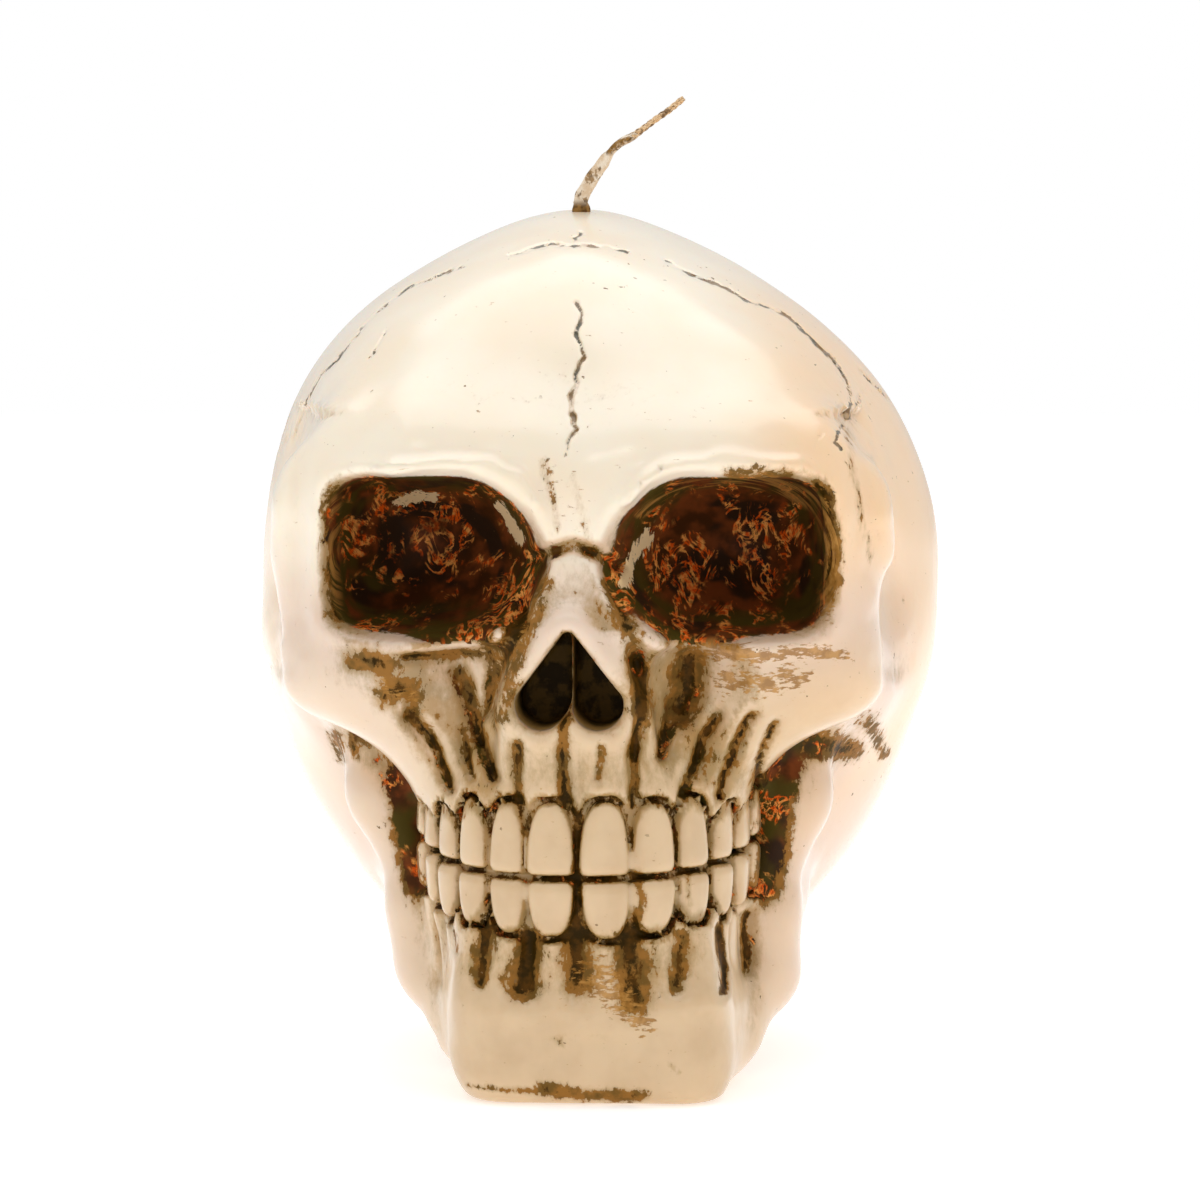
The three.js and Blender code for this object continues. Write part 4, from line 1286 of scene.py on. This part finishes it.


# Ivory wax with its tints, partly painted shade, a painted glow of light, the dark glaze rubbed into its
# hollows, golden brush strokes, rust and chips
def painted_wax():
    n = Nodes("painted_wax")
    paint, crevice, hollow = n.value("paint"), n.value("crevice"), n.value("hollow")
    washed, gold, ring = n.value("washed"), n.value("gold"), n.value("ring")
    fine_grit = n.swing(2.6, 1.2, 5, 0.68, (1, 1, 0.6))
    grit = n.total(fine_grit, n.swing(1.4, 4.5, 4, 0.6))
    crevice = n.most(n.math("SUBTRACT", crevice, 0.1), 0)

    # The wax and its tints
    wax = n.mottle("wax", "wax_cloud", (0.35, 0.7), 22, 2)
    # The painted glow of light shining through the wax
    wax = n.mix(n.times(n.value("glow"), 0.85), wax, colour("wax_painted_glow"))
    # A pinkish tint low on the head, partly the wax's own tone and partly painted shade
    wax = n.mix(n.times(n.value("rosy"), 0.85), wax, colour("wax_rosy"))
    # Painted shade, warmer and darker, in the hollows
    wax = n.mix(n.step(hollow, 0.2, 0.6), wax, colour("wax_hollow_shade"))
    # A tan on the lower face, partly the wax's own tone and partly painted shade
    wax = n.mix(n.times(n.value("tan"), 0.9), wax, n.mottle("wax_tan", "wax_tan_dark", (0.35, 0.7), 9, 3))

    # The glaze: a thin wash, a brown stain and dark grime in the furrows
    wash = n.total((crevice, 1.7), (paint, 1.1), (washed, 0.9), (hollow, 0.35), (grit, 0.35))
    olive = n.mottle("olive", "olive_light", (0.4, 0.6), 6, 3)
    painted = n.mix(n.times(n.step(wash, 0.16, 0.9), 0.78), wax, olive)
    stain = n.step(n.total((paint, 1.3), (washed, 0.45), (crevice, 1.1), grit), 0.62, 0.82)
    painted = n.mix(n.times(stain, 0.88), painted, n.mottle("stain", "stain_light", (0.4, 0.6), 3, 3))
    grime = n.step(n.total((paint, 0.95), (crevice, 1.5), (grit, 0.6)), 0.9, 1.18)
    painted = n.mix(grime, painted, n.mottle("grime", "grime_light", (0.4, 0.65), 2.6, 3))

    # Golden brush strokes, which run round the eyes and slant elsewhere
    across = n.swing(3, 0.6, 4, 0.62, (0.3, 0.3, 1), turn=(0, 0.25, 0))
    polar = n.add("CombineXYZ", {"X": n.times(ring, 26), "Y": n.value("angle")}).outputs[0]
    swirls = n.add("TexNoise", {"Vector": polar, "Scale": 1.2, "Detail": 4, "Roughness": 0.6})
    round_eye = n.about_zero(swirls.outputs["Fac"], 3.4)
    near_eye = n.opposite(n.step(ring, 1.15, 1.3))
    gilded = n.step(n.total(gold, n.mix(near_eye, across, round_eye), (fine_grit, 0.25)), 0.55, 0.8)
    painted = n.mix(n.times(gilded, 0.8), painted, n.mottle("gold", "gold_light", (0.4, 0.65), 2, 3))

    # The sockets and the hollows beside the jaw: murky paint with veins of rust, chipped in places
    chipped = n.step(n.total(n.value("chip"), (grit, 0.75)), 0.56, 0.66)
    deep = n.total(n.value("socket"), (grit, n.total(0.7, (n.value("lateral"), 3))))
    beside_jaw = n.total((n.value("deep_paint"), 0.6), (hollow, 1.1), (grit, 0.7))
    inside = n.most(n.times(n.step(deep, 0.8, 1.7), n.opposite(chipped)), n.step(beside_jaw, 0.85, 1.1))
    murk = n.mottle("murk", "murk_red", (0.4, 0.62), 5, 3, 0.55, (1, 0.3, 1))
    murk = n.mix(n.step(n.noise(9, 2), 0.5, 0.62), murk, colour("murk_dark"))
    outer = n.times(n.step(ring, 0.62, 0.95), n.step(n.noise(8, 2), 0.4, 0.6))
    murk = n.mix(outer, murk, colour("murk_olive"))
    vein_noise = n.math("SUBTRACT", n.noise(4.2, 5, 0.62, (1, 0.3, 0.75), 1.6), 0.5)
    vein = n.opposite(n.step(n.math("ABSOLUTE", vein_noise), 0.008, 0.066))
    vein = n.times(vein, n.step(n.noise(9, 4, 0.62, (1, 0.25, 1), 0.8), 0.49, 0.57))
    veined = n.mix(vein, murk, n.mottle("rust", "rust_light", (0.4, 0.62), 1.6, 3))
    rim = n.step(n.total(round_eye, (n.step(ring, 0.6, 1), 1.2)), 0.95, 1.3)
    rim = n.times(rim, n.times(near_eye, n.step(gold, 0.12, 0.6)))
    veined = n.mix(n.times(rim, 0.8), veined, colour("rim_gold"))
    painted = n.mix(n.times(chipped, 0.9), painted, colour("chip"))
    painted = n.mix(inside, painted, veined)

    # The nostrils, the cracks and scattered specks
    nose_depth = n.value("nose_depth")
    nose_inside = n.step(n.total(nose_depth, grit), 0.7, 1.8)
    nostril_tone = n.mottle("nostril", "nostril_light", (0.42, 0.6), 3, 4)
    # Lighter olive near the opening and darker deeper in: partly the paint's own tone, partly painted light
    # on the walls nearest the opening
    nostril_edge = n.step(n.total(nose_depth, (grit, 2)), 3, 13)
    painted = n.mix(nose_inside, painted, n.mix(nostril_edge, colour("nostril_edge"), nostril_tone))
    crack = n.times(n.step(n.total(n.value("crack"), (grit, 0.25)), 0.34, 0.56), 0.92)
    painted = n.mix(crack, painted, n.mottle("crack", "crack_light", (0.45, 0.6), 5, 2))
    speck = n.times(n.step(n.noise(1.3, 2, 0.5), 0.715, 0.74), n.step(n.noise(14, 2), 0.5, 0.62))
    painted = n.mix(speck, painted, colour("speck"))

    covered = n.most(grime, inside, nose_inside, stain, gilded, chipped)
    bare = n.opposite(covered)
    height = n.total((n.noise(7, 3), 0.5), (covered, 0.08), (fine_grit, 0.03))
    return n.surface({
        "Base Color": painted, "Roughness": n.total(n.between(n.noise(6, 3), 0.24, 0.4), (covered, 0.16)),
        "Subsurface Weight": n.times(bare, 0.25), "Subsurface Scale": 0.003,
        "Subsurface Radius": (1, 0.55, 0.3), "Specular IOR Level": 0.08, "IOR": 1.44,
        "Coat Weight": n.times(bare, 0.85), "Coat Roughness": 0.2, "Normal": n.bump(height, 0.0005, 0.6),
    })


skull.data.materials.clear()
skull.data.materials.append(painted_wax())


# The wick: a flat braid of strands that cross over and under, with wax round the foot of its free end
wick_width = 2.5
wick_thickness = 1.4
wick_rise = 19.7
wick_reach = 18.4
wick_foot = 0.3
free_end_shares = [
    (0, 0), (0, 0.08), (0.04, 0.165), (0.11, 0.275), (0.185, 0.375), (0.245, 0.455), (0.315, 0.54),
    (0.4, 0.605), (0.51, 0.66), (0.63, 0.74), (0.745, 0.82), (0.855, 0.89), (1, 1),
]
girth_shares = [(0, 1), (0.3, 0.86), (0.42, 0.62), (0.5, 0.98), (0.6, 0.98), (0.68, 0.84), (1, 0.82)]
strand_pitch = 5.2
strand_radius = 0.31
strand_weave = 0.16
turn_shares = (0.3, 0.5)
free_steps = 40
buried_step = 0.5
braid_step = 0.4
core_share = 0.3
strands_each_way = 4
strand_sides = 5
core_sides = 6
off_axis = np.array([0.1, 1, 0.05])


# The wick's line, its lengths from the foot and how far along the free end each point is
def wick_line():
    x, y, top = place["wick"] + frame_shift
    bends = [(x + u * wick_reach, y, top + v * wick_rise) for u, v in free_end_shares]
    free = curve_through(bends, free_steps)
    buried = [(x, y, level) for level in np.arange(wick_foot, top, buried_step)]
    line = np.concatenate([buried, free])
    along = lengths_along(line)
    share = np.clip((along - along[len(buried)]) / (along[-1] - along[len(buried)]), 0, 1)
    return line, along, share


def to_unit_length(rows):
    return rows / norm(rows)[:, None]


def headings(line):
    return to_unit_length(np.gradient(line, axis=0))


def round_turns(sides):
    turns = np.linspace(0, 2 * math.pi, sides, endpoint=False)
    return np.cos(turns)[:, None], np.sin(turns)[:, None]


# A closed skin round rings of points, each ring with so many points
def skin_rings(points, sides):
    faces = []
    for start in range(0, len(points) - sides, sides):
        for m in range(sides):
            a, b = start + m, start + (m + 1) % sides
            faces.append((a, a + sides, b + sides, b))
    numbers = tuple(range(len(points)))
    return points, faces + [numbers[:sides], numbers[-sides:][::-1]]


# A closed tube whose rings stand across its line
def tube(line, radii, sides):
    heading = headings(line)
    across = to_unit_length(np.cross(heading, off_axis))
    upward = np.cross(across, heading)
    cosines, sines = round_turns(sides)
    ring = cosines * across[:, None] + sines * upward[:, None]
    return skin_rings((line[:, None] + ring * np.asarray(radii)[:, None, None]).reshape(-1, 3), sides)


def add_parts(name, parts):
    build = bmesh.new()
    for points, faces in parts:
        verts = [build.verts.new(point * MILLIMETRE) for point in points]
        for face in faces:
            build.faces.new([verts[m] for m in face])
    bmesh.ops.recalc_face_normals(build, faces=build.faces)
    mesh = bpy.data.meshes.new(name)
    build.to_mesh(mesh)
    build.free()
    return smooth_object(name, mesh)


# The values of rows that belong to lengths along a line, at other lengths
def at_lengths(lengths, along, rows):
    return np.stack([np.interp(lengths, along, row) for row in rows.T], axis=-1)


# The wick's line with its girth and the directions of its width and thickness, which turn over on the way up
def wick_section():
    line, along, share = wick_line()
    across = np.array([0, 1, 0])
    sideways = to_unit_length(np.cross(across, headings(line)))
    turn = smoothstep(share, *turn_shares) * math.pi / 2
    girth = np.interp(share, *np.array(girth_shares).T)
    wide = np.cos(turn)[:, None] * sideways + np.sin(turn)[:, None] * across
    thin = -np.sin(turn)[:, None] * sideways + np.cos(turn)[:, None] * across
    return line, along, share, girth, wide, thin


def braided_wick():
    line, along, share, girth, wide, thin = wick_section()
    parts = [tube(line, core_share * wick_thickness * girth, core_sides)]
    steps = np.arange(0, along[-1], braid_step)
    spine, wide, thin = (at_lengths(steps, along, rows) for rows in (line, wide, thin))
    size = np.interp(steps, along, girth)
    radius = strand_radius * size
    for way in (-1, 1):
        for strand in range(strands_each_way):
            phase = way * 2 * math.pi * steps / strand_pitch + strand * math.pi / 2
            lift = 1 + strand_weave * np.sin(2 * phase * way + way * math.pi / 2)
            reach_wide = np.cos(phase) * ((wick_width / 2 * size - radius) * lift)
            reach_thin = np.sin(phase) * ((wick_thickness / 2 * size - radius) * lift)
            path = spine + reach_wide[:, None] * wide + reach_thin[:, None] * thin
            parts.append(tube(path, radius, strand_sides))
    return add_parts("braided_wick", parts)


sleeve_shares = [
    (0, 1.3), (0.04, 1.02), (0.2, 1), (0.36, 0.86), (0.42, 0.72), (0.48, 1.04), (0.56, 1.08), (0.62, 0.86),
    (0.66, 0.5),
]
sleeve_start = -0.05
sleeve_rings = 60
sleeve_sides = 20
sleeve_girth = 1.02
sleeve_lumps = 0.1
sleeve_lump_size = 1.1


# Wax that the free end's foot was drawn out of, thin and lumpy
def wax_sleeve():
    line, along, share, _, wide, thin = wick_section()
    steps = np.linspace(sleeve_start, sleeve_shares[-1][0], sleeve_rings)
    first = along[np.argmax(share > 0) - 1]
    reach = first + steps * (along[-1] - first)
    fatness = np.interp(steps, *np.array(sleeve_shares).T)
    cosines, sines = round_turns(sleeve_sides)
    rings = []
    for step, fat in zip(reach, fatness):
        spot, u, v = (at_lengths(step, along, rows) for rows in (line, wide, thin))
        ring = cosines * u * wick_width / 2 * fat + sines * v * wick_thickness / 2 * fat
        lumps = sleeve_lumps * lattice_noise(spot + ring, sleeve_lump_size)
        rings.append(spot + ring * (sleeve_girth + lumps[:, None]))
    return add_parts("wick_wax", [skin_rings(np.concatenate(rings), sleeve_sides)])


# Waxed cotton, darker in spots
def cotton():
    n = Nodes("wick_braid")
    fibre = n.noise(0.25, 3, 0.7, (1, 1, 0.25))
    tone = n.mix(n.step(fibre, 0.35, 0.65), colour("cotton"), colour("cotton_light"))
    spots = n.times(n.step(n.noise(1.6, 4, 0.62), 0.5, 0.57), 0.85)
    return n.surface({
        "Base Color": n.mix(spots, tone, colour("cotton_spot")), "Roughness": 0.85, "Sheen Weight": 0.2,
        "Normal": n.bump(fibre, 0.0001, 0.5),
    })


foot_levels = (0.1502, 0.1522)
lump_levels = (0.1592, 0.1602)


# Cream wax with flecks, dark brown in a band at its foot where it meets the skull, and dirty in a lump half
# way up
def sleeve_wax():
    n = Nodes("wick_wax")
    cream = n.mottle("wick_cream", "wick_cream_dark", (0.4, 0.6), 2.5, 3)
    fleck = n.times(n.step(n.noise(1.9, 4, 0.65, (1, 1, 0.7)), 0.53, 0.6), 0.85)
    height = n.add("SeparateXYZ", {"Vector": n.add("TexCoord").outputs["Object"]}).outputs["Z"]
    foot = n.opposite(n.step(height, *foot_levels))
    lump = n.times(n.step(height, *lump_levels), n.step(n.noise(1.3, 4, 0.62), 0.36, 0.56))
    dirt = n.mottle("wick_dirt", "wick_dirt_light", (0.4, 0.6), 0.8, 3)
    tone = n.mix(n.most(fleck, foot, lump), cream, dirt)
    return n.surface({"Base Color": tone, "Roughness": 0.5, "Specular IOR Level": 0.2})


# The plug's wax, swirled as it set
def poured_wax():
    n = Nodes("poured_wax")
    swirl = n.noise(6, 4, 0.6, (1, 1, 0.3), 1.5)
    return n.surface({
        "Base Color": n.mix(n.step(swirl, 0.35, 0.65), colour("poured"), colour("poured_dark")),
        "Roughness": 0.45, "Subsurface Weight": 0.2, "Subsurface Scale": 0.003,
        "Normal": n.bump(n.total((swirl, 0.6), (n.noise(1.2, 3), 0.2)), 0.0004, 0.6),
    })


# Rolled steel with the spangle of its tin
def tinned_steel():
    n = Nodes("tinned_steel")
    rolled = n.noise(0.8, 4, 0.7, (0.08, 1, 1))
    return n.surface({
        "Base Color": n.mottle("tin", "tin_dark", (0.35, 0.65), 3, 3, 0.6), "Metallic": 1,
        "Roughness": n.between(rolled, 0.22, 0.5), "Normal": n.bump(rolled, 0.00005, 0.5),
    })


wick = braided_wick()
wick.data.materials.append(cotton())
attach(wick, "root")
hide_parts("wick")
sleeve = wax_sleeve()
sleeve.data.materials.append(sleeve_wax())
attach(sleeve, "root")
for node, material in (("base_top_up", poured_wax()), ("wick_sustainer", tinned_steel())):
    for material_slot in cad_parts[node].material_slots:
        material_slot.material = material


# Camera, light and floor, in metres
sensor_width = 36
view_depth = 10
floor_half = 4
floor_level = -0.0002
floor_glow = 0.45
lit_place = Vector((0, 0, 0.08))
studio_strength = 0.62

# The lights' places, sizes and powers
lights = {
    "overhead": [(0, 0.25, 1.2), 1.3, 8.4],
    "key": [(-0.35, -0.9, 1.0), 0.18, 0.5],
    "fill": [(0.5, -0.9, 0.9), 0.18, 0.3],
}


def point_at(thing, direction):
    thing.rotation_euler = direction.to_track_quat("-Z", "Y").to_euler()


def add_camera():
    _, _, back = photo_directions()
    data = bpy.data.cameras.new("photo_camera")
    data.sensor_width = sensor_width
    data.lens = focal_pixels / photo_size * sensor_width
    data.clip_end = view_depth
    camera = new_object("photo_camera", data)
    camera.location = Vector((camera_target + camera_distance * back) * MILLIMETRE)
    point_at(camera, Vector(-back))
    bpy.context.scene.camera = camera


def add_area_light(name, place_at, size, power):
    data = bpy.data.lights.new(name, "AREA")
    data.size = size
    data.energy = power
    light = new_object(name, data)
    light.location = place_at
    point_at(light, lit_place - light.location)


def add_floor():
    build = bmesh.new()
    bmesh.ops.create_grid(build, x_segments=8, y_segments=8, size=floor_half)
    mesh = bpy.data.meshes.new("floor")
    build.to_mesh(mesh)
    build.free()
    floor = new_object("floor", mesh)
    floor.location.z = floor_level
    n = Nodes("pale_floor")
    tone = n.mix(n.noise(40, 2), (0.9, 0.9, 0.9, 1), (0.92, 0.92, 0.92, 1))
    mesh.materials.append(n.surface({
        "Base Color": tone, "Roughness": 0.9, "Specular IOR Level": 0.1, "Emission Color": (1, 1, 1, 1),
        "Emission Strength": floor_glow,
    }))


# White all round for the camera, and a little dimmer as light
def add_world():
    world = bpy.data.worlds.new("studio")
    world.use_nodes = True
    tree = world.node_tree
    ground = tree.nodes["Background"]
    ground.inputs["Color"].default_value = (1, 1, 1, 1)
    path = tree.nodes.new("ShaderNodeLightPath")
    strength = tree.nodes.new("ShaderNodeMapRange")
    strength.inputs["To Min"].default_value = studio_strength
    strength.inputs["To Max"].default_value = 1
    tree.links.new(path.outputs["Is Camera Ray"], strength.inputs["Value"])
    tree.links.new(strength.outputs["Result"], ground.inputs["Strength"])
    bpy.context.scene.world = world


add_camera()
add_floor()
add_world()
for name, settings in lights.items():
    add_area_light(name, *settings)
bpy.context.scene.view_settings.view_transform = "Standard"
